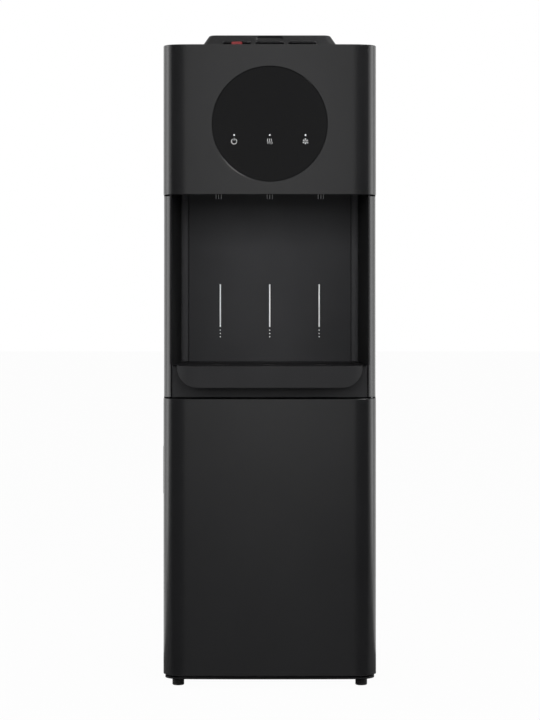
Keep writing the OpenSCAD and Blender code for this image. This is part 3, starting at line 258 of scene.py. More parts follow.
def pick(piece, mode, test):
    """Open a piece in edit mode with what passes a test selected."""
    activate(piece)
    bpy.ops.object.mode_set(mode="EDIT")
    choose(piece, mode, test)


def everything(item):
    return True


def middle(item):
    return sum((v.co for v in item.verts), Vector()) / len(item.verts)


def box_middle(box):
    return (box[0] + box[1]) / 2


def runs(edge, axis):
    """Whether an edge runs along X, Y or Z."""
    along = edge.verts[1].co - edge.verts[0].co
    return abs(along["XYZ".index(axis)]) > ALONG * along.length


def round_edges(piece, radius, steps, test, shape=0.5):
    pick(piece, "EDGE", test)
    bpy.ops.mesh.bevel(offset=radius, segments=steps, profile=shape, affect="EDGES")
    clear()


def drop_faces(piece, test):
    pick(piece, "FACE", test)
    bpy.ops.mesh.delete(type="FACE")
    clear()


def slice_at(piece, axis, places):
    """Cut extra edge rings across a piece."""
    normal = [float(axis == a) for a in "XYZ"]
    pick(piece, "FACE", everything)
    for spot in places:
        bpy.ops.mesh.select_all(action="SELECT")
        bpy.ops.mesh.bisect(plane_co=[spot * n for n in normal], plane_no=normal)
    clear()


def narrow_back(piece, back, share):
    """Scale the width of a piece at its back."""
    pick(piece, "VERT", lambda v: v.co.y > back - TINY)
    bpy.ops.transform.resize(value=(share, 1, 1), center_override=(0, 0, 0))
    clear()


def dish(piece, test, border, slope, sink):
    """Sink the middle of a face, inside a flat border and a slope."""
    pick(piece, "FACE", test)
    bpy.ops.mesh.inset(thickness=border)
    bpy.ops.mesh.inset(thickness=slope)
    bpy.ops.transform.translate(value=sink)
    clear()


def modify(piece, kind, **settings):
    activate(piece)
    bpy.ops.object.modifier_add(type=kind)
    modifier = piece.modifiers[-1]
    for name, value in settings.items():
        setattr(modifier, name, value)
    bpy.ops.object.modifier_apply(modifier=modifier.name)


def give_wall(piece):
    modify(piece, "SOLIDIFY", thickness=sizes().wall, offset=-1, use_even_offset=True)


def combine(piece, tool, operation="DIFFERENCE"):
    """Cut a piece with a tool, add the tool or keep what both share, and throw the tool away."""
    modify(piece, "BOOLEAN", object=tool, operation=operation, solver="EXACT")
    bpy.data.objects.remove(tool)
    return piece


def bore(piece, radius, centre, axis="Z", sides=32, depth=THROUGH):
    """Cut a round hole."""
    return combine(piece, drum("bore", radius, centre, depth, axis, sides))


def soften(piece, width, steps=3, angle=35):
    """Round every sharp edge a little and shade the rest smooth."""
    modify(
        piece,
        "BEVEL",
        width=width,
        segments=steps,
        limit_method="ANGLE",
        angle_limit=math.radians(angle),
        use_clamp_overlap=False,
    )
    return shade(piece)


def shade(piece):
    activate(piece)
    bpy.ops.object.shade_smooth_by_angle(angle=math.radians(38))
    modify(piece, "WEIGHTED_NORMAL", keep_sharp=True)
    return piece


def join(name, pieces):
    clear()
    for piece in pieces:
        piece.select_set(True)
    bpy.context.view_layer.objects.active = pieces[0]
    if len(pieces) > 1:
        bpy.ops.object.join()
    piece = bpy.context.object
    piece.name = name
    piece.data.name = name
    return piece


def copies(piece, offsets):
    """Copies of a piece at a list of offsets, each with its own mesh, in place of the piece itself."""
    made = []
    for offset in offsets:
        activate(piece)
        bpy.ops.object.duplicate()
        bpy.context.object.location = offset
        made.append(settle(piece.name + "_copy"))
    bpy.data.objects.remove(piece)
    return made


def place(x, depth, z):
    """Millimetres across, behind the front face and above the floor, in the shared frame."""
    return Vector((x * MM, FRONT_Y + depth * MM, z * MM))


def swept(name, points, radius, detail=3):
    """A round tube along a list of points."""
    clear()
    bpy.ops.curve.primitive_nurbs_path_add()
    path = bpy.context.object
    path.data.splines.clear()
    line = path.data.splines.new("POLY")
    line.points.add(len(points) - 1)
    for spot, point in zip(line.points, points):
        spot.co = (*point, 1)
    path.location = (0, 0, 0)
    path.data.bevel_depth = radius
    path.data.bevel_resolution = detail
    path.data.use_fill_caps = True
    bpy.ops.object.convert(target="MESH")
    piece = settle(name)
    bpy.ops.object.shade_smooth_by_angle(angle=math.radians(50))
    return piece


def smooth_route(points, steps=6):
    """Points of an even spline that starts and ends on the first and last point."""
    ends = [points[0]] * 2 + list(points) + [points[-1]] * 2
    route = []
    for i in range(len(points) + 1):
        a, b, c, d = ends[i : i + 4]
        for k in range(steps):
            t = k / steps
            weight_b = 3 * t**3 - 6 * t * t + 4
            weight_c = -3 * t**3 + 3 * t * t + 3 * t + 1
            route.append((a * (1 - t) ** 3 + b * weight_b + c * weight_c + d * t**3) / 6)
    return route + [points[-1]]


def routed(name, routes, radius):
    """One tube for each route."""
    return [swept(name, smooth_route([place(*p) for p in points]), radius) for points in routes]


def coil(centre, radius, low, pitch, turns, steps):
    """Points of a helix that climbs from a height."""
    points = []
    for i in range(turns * steps + 1):
        angle = math.tau * i / steps
        x = centre[0] + radius * math.cos(angle)
        y = centre[1] + radius * math.sin(angle)
        points.append(Vector((x, y, low + pitch * i / steps)))
    return points


def fit(piece, body, slot, look, *nodes):
    """Give a finished piece its body, its finish and the nodes that it stands for, which it hides. The
    slot is not used.
    """
    piece.data.materials.clear()
    piece.data.materials.append(finish(look))
    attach(piece, body)
    if nodes:
        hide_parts(*nodes)
    return piece


def dress(look, *nodes):
    """Give carried-over nodes their finish."""
    for node in nodes:
        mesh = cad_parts[node].data
        mesh.materials.clear()
        mesh.materials.append(finish(look))


def break_edges(width, *nodes):
    """Round the sharp edges of carried-over nodes with modifiers."""
    for node in nodes:
        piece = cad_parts[node]
        piece.modifiers.new("Merge", "WELD").merge_threshold = 2e-6
        bevel = piece.modifiers.new("Edges", "BEVEL")
        bevel.width = width
        bevel.segments = 3
        bevel.limit_method = "ANGLE"
        bevel.angle_limit = math.radians(40)


# Finishes


def add_node(tree, kind, output, inputs, **settings):
    """Add a shader node with its inputs set or linked, and return one of its outputs."""
    node = tree.nodes.new("ShaderNode" + kind)
    for name, value in settings.items():
        setattr(node, name, value)
    for name, value in inputs.items():
        if isinstance(value, NodeSocket):
            tree.links.new(value, node.inputs[name])
        else:
            node.inputs[name].default_value = value
    return node.outputs[output]


class Finish:
    """A material under construction: a principled shader with noise-driven detail."""

    def __init__(self, name):
        self.material = bpy.data.materials.new(name)
        self.material.use_nodes = True
        self.tree = self.material.node_tree
        self.shader = self.tree.nodes["Principled BSDF"]
        self.where = self.tree.nodes.new("ShaderNodeTexCoord").outputs["Object"]

    def set(self, **values):
        for name, value in values.items():
            self.shader.inputs[name.replace("_", " ")].default_value = value
        return self

    def link(self, source, name):
        self.tree.links.new(source, self.shader.inputs[name])

    def surface(self, source):
        """Show another shader in place of the principled one."""
        self.tree.links.new(source, self.tree.nodes["Material Output"].inputs["Surface"])

    def noise(self, scale, detail, stretch=None):
        where = self.where
        if stretch:
            where = add_node(self.tree, "Mapping", "Vector", {"Vector": where, "Scale": stretch})
        pattern = {"Vector": where, "Scale": scale, "Detail": detail}
        return add_node(self.tree, "TexNoise", "Fac", pattern)

    def spread(self, source, low, high, edge=(0.3, 0.7)):
        """A value that follows a pattern between two limits."""
        limits = {"From Min": edge[0], "From Max": edge[1], "To Min": low, "To Max": high}
        return add_node(self.tree, "MapRange", "Result", {"Value": source, **limits})

    def tint(self, source, dark, pale):
        """Base colour between two tones."""
        tones = {"Factor": self.spread(source, 0, 1), "A": (*dark, 1), "B": (*pale, 1)}
        self.link(add_node(self.tree, "Mix", "Result", tones, data_type="RGBA"), "Base Color")

    def roughen(self, source, low, high):
        self.link(self.spread(source, low, high), "Roughness")

    def bump(self, source, strength, distance):
        height = {"Height": source, "Strength": strength, "Distance": distance}
        self.link(add_node(self.tree, "Bump", "Normal", height), "Normal")


def scaled(tone, by):
    return tuple(min(1.0, channel * by) for channel in tone)


def moulded(name, tone, rough, grain=0.1, specular=0.5):
    """Moulded plastic: fine grain, faint flow marks and slightly uneven gloss."""
    made = Finish(name).set(Specular_IOR_Level=specular, IOR=1.5)
    made.tint(made.noise(9, 2), scaled(tone, 0.92), scaled(tone, 1.08))
    made.roughen(made.noise(160, 4), rough - 0.02, rough + 0.02)
    made.bump(made.noise(1500, 2), grain, 0.05 * MM)
    return made.material


def painted(name, tone, rough, peel=0.12):
    """Powder-coated sheet: shallow orange peel."""
    made = Finish(name).set(Specular_IOR_Level=0.5)
    made.tint(made.noise(6, 2), scaled(tone, 0.94), scaled(tone, 1.06))
    made.roughen(made.noise(420, 2), rough - 0.03, rough + 0.04)
    made.bump(made.noise(520, 3), peel, 0.12 * MM)
    return made.material


def metal(name, tone, rough, stretch=(1, 60, 60)):
    """Bare metal with drawing lines and faint stains."""
    made = Finish(name).set(Metallic=1.0)
    made.tint(made.noise(24, 4), scaled(tone, 0.82), tone)
    made.roughen(made.noise(40, 3, stretch), rough - 0.07, rough + 0.08)
    made.bump(made.noise(60, 2, stretch), 0.05, 0.05 * MM)
    return made.material


def soft(name, tone, rough, scale=700, depth=0.3):
    """Rubber, silicone or foam: matt with a fine pitted skin."""
    made = Finish(name).set(Specular_IOR_Level=0.35)
    made.tint(made.noise(40, 3), scaled(tone, 0.85), scaled(tone, 1.1))
    made.roughen(made.noise(90, 3), rough - 0.06, rough + 0.06)
    made.bump(made.noise(scale, 3), depth, 0.1 * MM)
    return made.material


def recipes(f):
    """The kind, material name, colour, roughness and further values of every finish."""
    rough, grain = f.shell_roughness, f.grain
    return {
        "shell": (moulded, "shell_satin_plastic", f.shell, rough, grain, 0.62),
        # The bay's three finishes are one matt plastic in three tones: the darker tone is painted shade
        # on the alcove's side walls, ceiling and ledge, and the cove's lighter tone is a painted
        # highlight on the hollow back corners.
        "bay": (moulded, "bay_matt_plastic", f.bay, rough + 0.55, grain, 0.05),
        "cove": (moulded, "bay_cove_plastic", scaled(f.bay, 1.25), rough + 0.4, grain, 0.1),
        "surround": (moulded, "bay_surround_plastic", scaled(f.bay, 0.36), 0.6, grain, 0.15),
        "tray": (moulded, "tray_matt_plastic", f.tray, rough + 0.25, grain, 0.03),
        "key": (moulded, "key_satin_plastic", f.key, rough, grain),
        "cap": (moulded, "cap_satin_plastic", f.key, rough + 0.25, grain, 0.12),
        "dark": (moulded, "dark_plastic", (0.006, 0.006, 0.0065), 0.45, grain, 0.25),
        # The spout ribs' pale grey is a painted highlight on the dark spouts.
        "rib": (moulded, "spout_rib_plastic", (0.38, 0.38, 0.39), 0.3, 0.05),
        "disc": (moulded, "disc_gloss_black", f.disc, 0.09, 0.0, 0.16),
        "marks": (moulded, "printed_marks", f.marks, 0.5, 0.05),
        "lamp": (moulded, "light_lens", (0.86, 0.87, 0.9), 0.25, 0.0),
        "lock": (moulded, "lock_red_plastic", f.lock, 0.3, 0.05, 0.3),
        "red": (moulded, "rocker_red", (0.42, 0.012, 0.012), 0.25, 0.05),
        "blue": (moulded, "rocker_blue", (0.012, 0.07, 0.32), 0.25, 0.05),
        "liner": (moulded, "liner_plastic", (0.055, 0.056, 0.06), 0.5, 0.2),
        "white": (moulded, "white_plastic", (0.72, 0.72, 0.70), 0.4, 0.1),
        "board": (moulded, "circuit_board", (0.012, 0.09, 0.04), 0.4, 0.2),
        "sheet": (painted, "sheet_powder_coat", f.shell, 0.38),
        "base": (painted, "base_powder_coat", (0.005, 0.005, 0.0055), 0.45),
        "cooling": (painted, "cooling_black_paint", (0.006, 0.006, 0.0065), 0.3),
        "steel": (metal, "drawn_steel", (0.56, 0.57, 0.59), 0.34),
        "copper": (metal, "copper_tube", (0.72, 0.33, 0.19), 0.3, (60, 60, 6)),
        "rubber": (soft, "black_rubber", (0.009, 0.009, 0.009), 0.65),
        "hose": (soft, "silicone_hose", (0.62, 0.65, 0.66), 0.35, 300, 0.1),
        "foam": (soft, "insulation_foam", (0.66, 0.62, 0.48), 0.85, 260, 0.8),
    }


def finish(look):
    """The material of a finish, made when it is first asked for."""
    known = bpy.context.scene.get("dispenser_" + look)
    if known is None:
        kind, *values = recipes(finishes())[look]
        known = kind(*values)
        bpy.context.scene["dispenser_" + look] = known
    return known


# Front mouldings


def bow_front(piece):
    """Push the front back towards its sides, so that its middle bows out."""
    s = sizes()
    back = FRONT_Y + s.wrap_depth - TINY
    pick(piece, "VERT", lambda v: False)
    mesh = bmesh.from_edit_mesh(piece.data)
    columns = sorted({round(v.co.x, 5) for v in mesh.verts if v.co.y < back})
    for x in columns:
        choose(piece, "VERT", lambda v: abs(v.co.x - x) < TINY and v.co.y < back)
        bpy.ops.transform.translate(value=(0, s.bow * (min(abs(x), s.bow_reach) / HALF_W) ** 2, 0))
    clear()


def front_block(name, inset, low, high):
    """A block with the rounded and bowed front of the body."""
    s = sizes()
    front = FRONT_Y + inset
    piece = block(name, (inset - HALF_W, front, low), (HALF_W - inset, FRONT_Y + s.wrap_depth, high))
    round_edges(
        piece,
        s.corner_radius - inset,
        s.curve_steps,
        lambda e: runs(e, "Z") and middle(e).y < front + TINY,
        s.corner_shape,
    )
    slices = 5
    step = (HALF_W - s.corner_radius) / (slices + 0.5)
    slice_at(piece, "X", [step * k for k in range(-slices, slices + 1)])
    bow_front(piece)
    return piece


def front_shell(name, inset, low, high):
    """A wall with the front of the body, open behind, above and below."""
    piece = front_block(name, inset, low, high)
    drop_faces(piece, lambda f: f.normal.y > FACING or abs(f.normal.z) > FACING)
    give_wall(piece)
    return piece


class DISPENSER_OT_upper_panel(Operator):
    """Bowed upper front panel with the round seat of the disc"""

    bl_idname = "dispenser.upper_panel"
    bl_label = "Upper front panel"

    def execute(self, context):
        s = sizes()
        disc_r = DISC[1].x
        centre = box_middle(DISC)
        panel = front_shell("upper_panel_moulding", 0, PANEL[0].z, PANEL[1].z)
        bore(panel, disc_r + s.disc_gap, centre, "Y", 128, depth=14 * MM)
        soften(panel, s.edge_round)
        seat, seat_wall = (0, FRONT_Y + 4.2 * MM, centre.z), 1.8 * MM
        seat_outer, seat_inner = disc_r + 5 * MM, disc_r - 6 * MM
        ring = drum("disc_seat", seat_outer, seat, seat_wall, "Y", 96)
        bore(ring, seat_inner, (0, FRONT_Y, centre.z), "Y", 96)
        panel = join("upper_panel_moulding", [panel, shade(ring)])
        fit(panel, "cabinet", "front_plastic", "shell", "upper_front_panel")
        return {"FINISHED"}


class DISPENSER_OT_display(Operator):
    """Gloss display disc with its light points and printed symbols"""

    bl_idname = "dispenser.display"
    bl_label = "Display disc"

    def execute(self, context):
        face = DISC[0].y + sizes().disc_sink
        centre = box_middle(DISC)
        centre.y = (face + DISC[1].y) / 2
        disc = drum("display_disc_gloss", DISC[1].x, centre, DISC[1].y - face, "Y", 160)
        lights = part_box("indicator_lights")
        solid_r, hole_r, point_r = 1.5 * MM, 1.32 * MM, 1.25 * MM
        light_x = lights[1].x - solid_r
        light_z = box_middle(lights).z
        reach = lights[1].y - face
        points = []
        for x in (-light_x, 0, light_x):
            bore(disc, hole_r, (x, centre.y, light_z), "Y")
            point = drum("light_point", point_r, (x, face + reach / 2, light_z), reach, "Y")
            points.append(soften(point, 0.2 * MM, 2))
        soften(disc, 0.5 * MM)
        fit(disc, "cabinet", "disc_gloss", "disc", "display_disc")
        fit(join("light_points", points), "cabinet", "light_white", "lamp", "indicator_lights")
        dress("board", "indicator_board")
        symbol_y, symbol_z, size = face - 0.05 * MM, light_z - 9.1 * MM, 1.02
        for symbol, x in (
            (power_symbol("symbol_power"), -light_x),
            (heat_symbol("symbol_heat"), 0),
            (cold_symbol("symbol_cold"), light_x),
        ):
            put(symbol, (x, symbol_y, symbol_z), scale=(size, 1, size))
            fit(symbol, "cabinet", "print_white", "marks")
        return {"FINISHED"}


# Symbols, drawn flat in the XZ plane


def seed_edge(name, width, x, z):
    """Open a new piece in edit mode with one edge along X at a place, selected."""
    clear()
    bpy.ops.mesh.primitive_plane_add(size=1)
    bpy.context.object.scale = (width, 1, 1)
    piece = settle(name)
    pick(piece, "VERT", lambda v: v.co.y > 0)
    bpy.ops.mesh.delete(type="VERT")
    choose(piece, "VERT", everything)
    bpy.ops.transform.translate(value=(x, 0.5, z))
    return piece


def stroke(name, points, width):
    """A flat stroke, drawn by extruding one edge from point to point."""
    piece = seed_edge(name, width, *points[0])
    for before, after in zip(points, points[1:]):
        step = Vector(after) - Vector(before)
        bpy.ops.mesh.extrude_region_move(TRANSFORM_OT_translate={"value": (step.x, 0, step.y)})
    clear()
    return piece


def arc_stroke(name, radius, width, start, sweep, steps):
    """A flat ring sector, spun from one edge."""
    piece = seed_edge(name, width, radius, 0)
    bpy.ops.mesh.spin(steps=steps, angle=sweep, center=(0, 0, 0), axis=(0, 1, 0))
    clear()
    return put(piece, turn=(0, start, 0))


def thicken(piece):
    """Close a flat symbol and give it the thickness of a print."""
    pick(piece, "FACE", everything)
    bpy.ops.mesh.remove_doubles(threshold=1e-6)
    bpy.ops.mesh.normals_make_consistent(inside=False)
    clear()
    modify(piece, "SOLIDIFY", thickness=0.12 * MM, offset=0)
    return piece


def power_symbol(name):
    width = 0.52 * MM
    ring = arc_stroke(name, 3.8 * MM, width, math.radians(-120), math.radians(300), 30)
    bar = stroke("power_bar", [(0, 1.3 * MM), (0, 4.7 * MM)], width)
    return thicken(join(name, [ring, bar]))


def heat_symbol(name):
    pitch, swing, steps, step = 2.8 * MM, 0.5 * MM, 12, 0.6 * MM
    waves = []
    for k in (-1, 0, 1):
        points = [
            (k * pitch + swing * math.sin(math.tau * i / steps), (i - steps / 2) * step)
            for i in range(steps + 1)
        ]
        waves.append(stroke("heat_wave", points, 0.5 * MM))
    return thicken(join(name, waves))


def cold_symbol(name):
    width, hub, tip = 0.42 * MM, (0, 0.9 * MM), (0, 4.2 * MM)
    fork, twig_x, twig_z = (0, 2.7 * MM), 0.9 * MM, 3.7 * MM
    arms = []
    for k in range(6):
        strokes = [stroke("cold_arm", [hub, tip], width)]
        for side in (1, -1):
            strokes.append(stroke("cold_twig", [fork, (side * twig_x, twig_z)], width))
        arms.append(put(join("cold_arm", strokes), turn=(0, math.radians(60 * k), 0)))
    return thicken(join(name, arms))


# Bay and tray


def tray_plan_block(name, grow, low, high):
    """The tray's outline from above: round front corners and sides that draw in to the back."""
    s = sizes()
    half = TRAY[1].x + grow
    front, back = TRAY[0].y - grow, TRAY[1].y + grow
    piece = block(name, (-half, front, low), (half, back, high))
    round_edges(piece, s.tray_corner + grow, 12, lambda e: runs(e, "Z") and middle(e).y < front + TINY)
    narrow_back(piece, back, (half - s.tray_taper) / half)
    return piece


def tray_profile_block(name, grow):
    """The tray's outline from the front: round lower corners."""
    half = TRAY[1].x + grow
    low = TRAY[0].z - grow
    past = 5 * MARGIN
    piece = block(
        name, (-half, TRAY[0].y - past, low), (half, TRAY[1].y + past, TRAY[1].z + 5 * MM)
    )
    radius = sizes().tray_round + grow
    round_edges(piece, radius, 14, lambda e: runs(e, "Y") and middle(e).z < low + TINY)
    return piece


def mirrored_block(name, side, inner, outer, y, z):
    """A block on one side of the middle, between two distances from it."""
    x = sorted((side * inner, side * outer))
    return block(name, (x[0], y[0], z[0]), (x[1], y[1], z[1]))


class DISPENSER_OT_bay(Operator):
    """Dispensing bay: side strips, alcove, apron and the deck round the tray"""

    bl_idname = "dispenser.bay"
    bl_label = "Dispensing bay"

    def execute(self, context):
        s = sizes()
        half = s.bay_opening / 2
        rear = FRONT_Y + s.bay_depth + s.wall
        face = FRONT_Y + s.bay_depth - s.bay_step
        apron_y = FRONT_Y + 9 * MM
        room = (TRAY[0].z - 0.3 * MM, BAY[1].z - s.wall)
        alcove = self.alcove(half, rear, room)
        plate, coves = self.back_wall(face, rear, room)
        strips = self.strips(half)
        apron = self.apron(half, apron_y)
        ledge = self.ledge(half, apron_y)
        bay = join("bay_alcove", [alcove, ledge, *self.lugs()])
        # The alcove takes the darker tone as painted shade, and the coves take the lighter tone as a
        # painted highlight.
        for piece, look in (
            (bay, "surround"),
            (plate, "bay"),
            (join("bay_coves", coves), "cove"),
            (strips, "shell"),
            # The apron takes the tray's darker finish as painted shade cast by the tray.
            (apron, "tray"),
        ):
            fit(piece, "cabinet", "bay_plastic", look, "dispensing_bay")
        self.flow_prints(face)
        self.nozzles()
        return {"FINISHED"}

    def alcove(self, half, rear, room):
        """Side walls, ceiling and floor, open at the front and the back."""
        s = sizes()
        floor, ceiling = room
        front = FRONT_Y + 7.5 * MM
        alcove = block("bay_alcove", (-half, front, floor), (half, rear, ceiling))
        narrow_back(alcove, rear, s.bay_back / s.bay_opening)
        drop_faces(alcove, lambda f: abs(f.normal.y) > FACING)
        pick(alcove, "FACE", everything)
        bpy.ops.mesh.flip_normals()
        clear()
        give_wall(alcove)
        spout_hole, deep = 5.1 * MM, 12 * MM
        for x in (-SPOUT_REACH, 0, SPOUT_REACH):
            bore(alcove, spout_hole, (x, SPOUT_Y, ceiling), depth=deep)
        low = (-half - MARGIN, front - MARGIN, floor - MARGIN)
        high = (half + MARGIN, FRONT_Y + 9.3 * MM, TRAY[1].z)
        combine(alcove, block("floor_cut", low, high))
        return soften(alcove, 1.2 * MM)

    def back_wall(self, face, rear, room):
        """The flat back wall and the hollow rounds at its two sides."""
        s = sizes()
        floor, ceiling = room
        edge = s.bay_back / 2 - s.bay_cove
        plate = block("bay_back_plate", (-edge, face, floor), (edge, rear, ceiling))
        round_edges(plate, 2.4 * MM, 5, lambda e: runs(e, "Z") and middle(e).y < face + TINY)
        overlap = 0.4 * MM
        coves = []
        for side in (-1, 1):
            outer = s.bay_back / 2 + overlap
            cove = mirrored_block("bay_cove", side, edge, outer, (face - s.bay_cove, rear), room)
            centre = (side * edge, face - overlap - s.bay_cove, (floor + ceiling) / 2)
            bore(cove, s.bay_cove, centre, sides=128, depth=2 * (ceiling - floor))
            coves.append(shade(cove))
        return shade(plate), coves

    def strips(self, half):
        """The bay's share of the front: a strip beside each side of the opening."""
        s = sizes()
        inset, height = 0.7 * MM, 291.5 * MM
        strips = front_shell("bay_strips", inset, BAY[0].z, BAY[0].z + height)
        low = (-half, FRONT_Y - 2 * MARGIN, BAY[0].z - MARGIN)
        combine(strips, block("strip_cut", low, (half, FRONT_Y + s.wrap_depth, BAY[1].z)))
        return soften(strips, s.edge_round)

    def apron(self, half, front):
        """The upright plate round the tray."""
        edge = half - 1 * MM
        apron = block(
            "bay_apron", (-edge, front, BAY[0].z), (edge, front + sizes().wall, TRAY[1].z)
        )
        combine(apron, tray_profile_block("apron_cut", PLAY))
        return soften(apron, FINE, 2)

    def ledge(self, half, front):
        """The level plate round the tray."""
        s = sizes()
        edge, back = half - 2 * MM, FRONT_Y + s.bay_depth
        ledge = block("bay_ledge", (-edge, front, TRAY[1].z - s.wall), (edge, back, TRAY[1].z))
        narrow_back(ledge, back, s.bay_back / s.bay_opening)
        combine(ledge, tray_plan_block("ledge_cut", PLAY, TRAY[0].z, TRAY[1].z + 10 * MM))
        return soften(ledge, FINE, 2)

    def lugs(self):
        """The two lugs above the door. The right one takes the upper hinge pin."""
        inner, outer = 134.4 * MM, 152.8 * MM
        y = (FRONT_Y + 23 * MM, FRONT_Y + sizes().wrap_depth)
        z = (BAY[0].z, BAY[0].z + 3 * MM)
        lugs = []
        for side in (-1, 1):
            lug = mirrored_block("bay_lug", side, inner, outer, y, z)
            if side > 0:
                bore(lug, PIN_BORE, (HINGE_X, FRONT_Y + HINGE_DEPTH, BAY[0].z))
            lugs.append(soften(lug, FINE, 2))
        return lugs

    def flow_prints(self, face):
        """Printed flow lines, each with three dots under it."""
        low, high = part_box("flow_marks")
        solid_half, line_half, dot_r = 1.1 * MM, 0.95 * MM, 0.85 * MM
        depth, rounding, pitch = 0.2 * MM, 0.08 * MM, 5 * MM
        reach = high.x - solid_half
        foot = low.z + 16.1 * MM
        prints = []
        for x in (-reach, 0, reach):
            line = block(
                "flow_line", (x - line_half, face - depth, foot), (x + line_half, face + depth, high.z)
            )
            prints.append(soften(line, rounding, 2))
            for k in (1, 2, 3):
                dot = drum("flow_dot", dot_r, (x, face, foot - pitch * k), 2 * depth, "Y", 24)
                prints.append(soften(dot, rounding, 2))
        fit(join("flow_prints", prints), "cabinet", "print_white", "marks", "flow_marks")

    def nozzles(self):
        """Three spouts, each a tube with a flange, a barb and six upright ribs, whose pale grey is a
        painted highlight.
        """
        low, top = SPOUTS[0].z, BAY[1].z
        tube_r, barb_r, bore_r = 4.1 * MM, 3.3 * MM, 2.2 * MM
        flange_h, barb_h, barb_z = 2.5 * MM, 12 * MM, top + 7 * MM
        rib_half, rib_in, rib_out = 0.45 * MM, 3.9 * MM, 4.8 * MM
        tubes, ribs = [], []
        for x in (-SPOUT_REACH, 0, SPOUT_REACH):
            at = (x, SPOUT_Y)
            tube = drum("tube", tube_r, (*at, (low + top) / 2), top - low, sides=40)
            flange = drum("flange", SPOUT_FLANGE, (*at, top + flange_h / 2), flange_h, sides=48)
            combine(tube, flange, "UNION")
            combine(tube, drum("barb", barb_r, (*at, barb_z), barb_h, sides=40), "UNION")
            bore(tube, bore_r, (*at, top), depth=5 * THROUGH)
            tubes.append(soften(tube, FINE, 2))
            for k in range(6):
                rib = block("rib", (-rib_half, -rib_out, low + 0.3 * MM), (rib_half, -rib_in, top))
                put(rib, (*at, 0), (0, 0, math.radians(60 * k)))
                ribs.append(soften(rib, 0.2 * MM, 2))
        fit(join("spout_tubes", tubes), "cabinet", "dark_plastic", "dark", "spouts")
        # The ribs' pale grey is a painted highlight.
        fit(join("spout_ribs", ribs), "cabinet", "dark_plastic", "rib", "spouts")


class DISPENSER_OT_tray(Operator):
    """Pull-out drip tray and its grille"""

    bl_idname = "dispenser.tray"
    bl_label = "Drip tray"

    def execute(self, context):
        wall = sizes().tray_wall
        shelf = 2 * MM
        tray = tray_plan_block("tray_moulding", 0, TRAY[0].z, TRAY[1].z)
        combine(tray, tray_profile_block("tray_outer", 0), "INTERSECT")
        basin = tray_plan_block("tray_basin", -(wall + shelf), TRAY[0].z, GRILLE[0].z + 0.5 * MM)
        combine(basin, tray_profile_block("tray_inner", -wall), "INTERSECT")
        combine(tray, basin)
        combine(tray, tray_plan_block("tray_rim", -wall, GRILLE[0].z, TRAY[1].z + 5 * MM))
        soften(tray, 0.9 * MM, 3, 30)
        fit(tray, "drip_tray", "tray_plastic", "tray", "drip_tray")

        grille = tray_plan_block("grille_plate", -(wall + PLAY), GRILLE[0].z, GRILLE[1].z)
        for x in (-SPOUT_REACH, 0, SPOUT_REACH):
            bore(grille, 13 * MM, (x, SPOUT_Y, GRILLE[0].z), sides=64)
        soften(grille, 0.5 * MM)
        fit(grille, "drip_grille", "grille_plastic", "tray", "drip_grille")
        return {"FINISHED"}


# Door, bottle seat and keys


def lower_front_edge(edge):
    """Whether an edge runs along the front or an end of the door's underside."""
    inside = runs(edge, "Y") and abs(edge.verts[0].co.x) < HALF_W - TINY
    spot = middle(edge)
    return spot.z < DOOR[0].z + TINY and spot.y < DOOR[1].y - TINY and not inside


class DISPENSER_OT_door(Operator):
    """Cabinet door with its finger pull, and the ribs of the cabinet behind it"""

    bl_idname = "dispenser.door"
    bl_label = "Cabinet door"

    def execute(self, context):
        s = sizes()
        door = front_block("door_moulding", 0, DOOR[0].z, DOOR[1].z)
        round_edges(door, 3 * MM, 5, lower_front_edge)
        hollow = front_block("door_hollow", s.wall, DOOR[0].z + s.wall, DOOR[1].z - s.wall)
        pick(hollow, "VERT", lambda v: v.co.y > FRONT_Y + s.wrap_depth - TINY)
        bpy.ops.transform.translate(value=(0, 5 * MM, 0))
        clear()
        combine(door, hollow)
        soften(door, s.edge_round)
        low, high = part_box("door_pull")
        gap, past, depth = 0.3 * MM, 5 * MM, 4 * MM
        pull_low = (low.x - past, low.y - gap, low.z - gap)
        combine(door, block("pull_cut", pull_low, (low.x + depth, high.y + gap, high.z + gap)))
        door = join("door_moulding", [shade(door), *self.bosses()])
        fit(door, "door", "front_plastic", "shell", "cabinet_door")

        inner = block("door_inner_moulding", *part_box("door_inner_panel"))
        dish(inner, lambda f: f.normal.y > FACING, 18 * MM, 2.5 * MM, (0, -1.2 * MM, 0))
        soften(inner, FINE, 2, 20)
        fit(inner, "door", "liner_plastic", "liner", "door_inner_panel")
        self.liner_ribs()
        break_edges(FINE, "door_pull", "magnet_catch", "cabinet_liner")
        dress("dark", "door_pull")
        dress("liner", "cabinet_liner")
        dress("steel", "strike_plate", "hinge_pins")
        dress("rubber", "magnet_catch")
        return {"FINISHED"}

    def bosses(self):
        """The two round bosses that turn on the hinge pins."""
        radius, height = 7 * MM, 13 * MM
        bosses = []
        for low in (DOOR[0].z + 1 * MM, DOOR[1].z - 1 * MM - height):
            at = (HINGE_X, FRONT_Y + HINGE_DEPTH)
            boss = drum("door_boss", radius, (*at, low + height / 2), height, sides=48)
            bore(boss, PIN_BORE, (*at, low), depth=3 * THROUGH)
            bosses.append(soften(boss, FINE, 2))
        return bosses

    def liner_ribs(self):
        """Upright ribs on the back wall of the cabinet."""
        low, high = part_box("cabinet_liner")
        wall = high.y - 2 * MM
        half, height, sunk, margin, pitch = 5 * MM, 1.8 * MM, 0.2 * MM, 45 * MM, 42 * MM
        rounding = height - 0.1 * MM
        rib = block(
            "liner_rib", (-half, wall - height, low.z + margin), (half, wall + sunk, high.z - margin)
        )
        round_edges(rib, rounding, 4, lambda e: max(v.co.y for v in e.verts) < wall - rounding)
        ribs = copies(shade(rib), [(pitch * k, 0, 0) for k in range(-2, 3)])
        fit(join("liner_ribs", ribs), "cabinet", "liner_plastic", "liner")


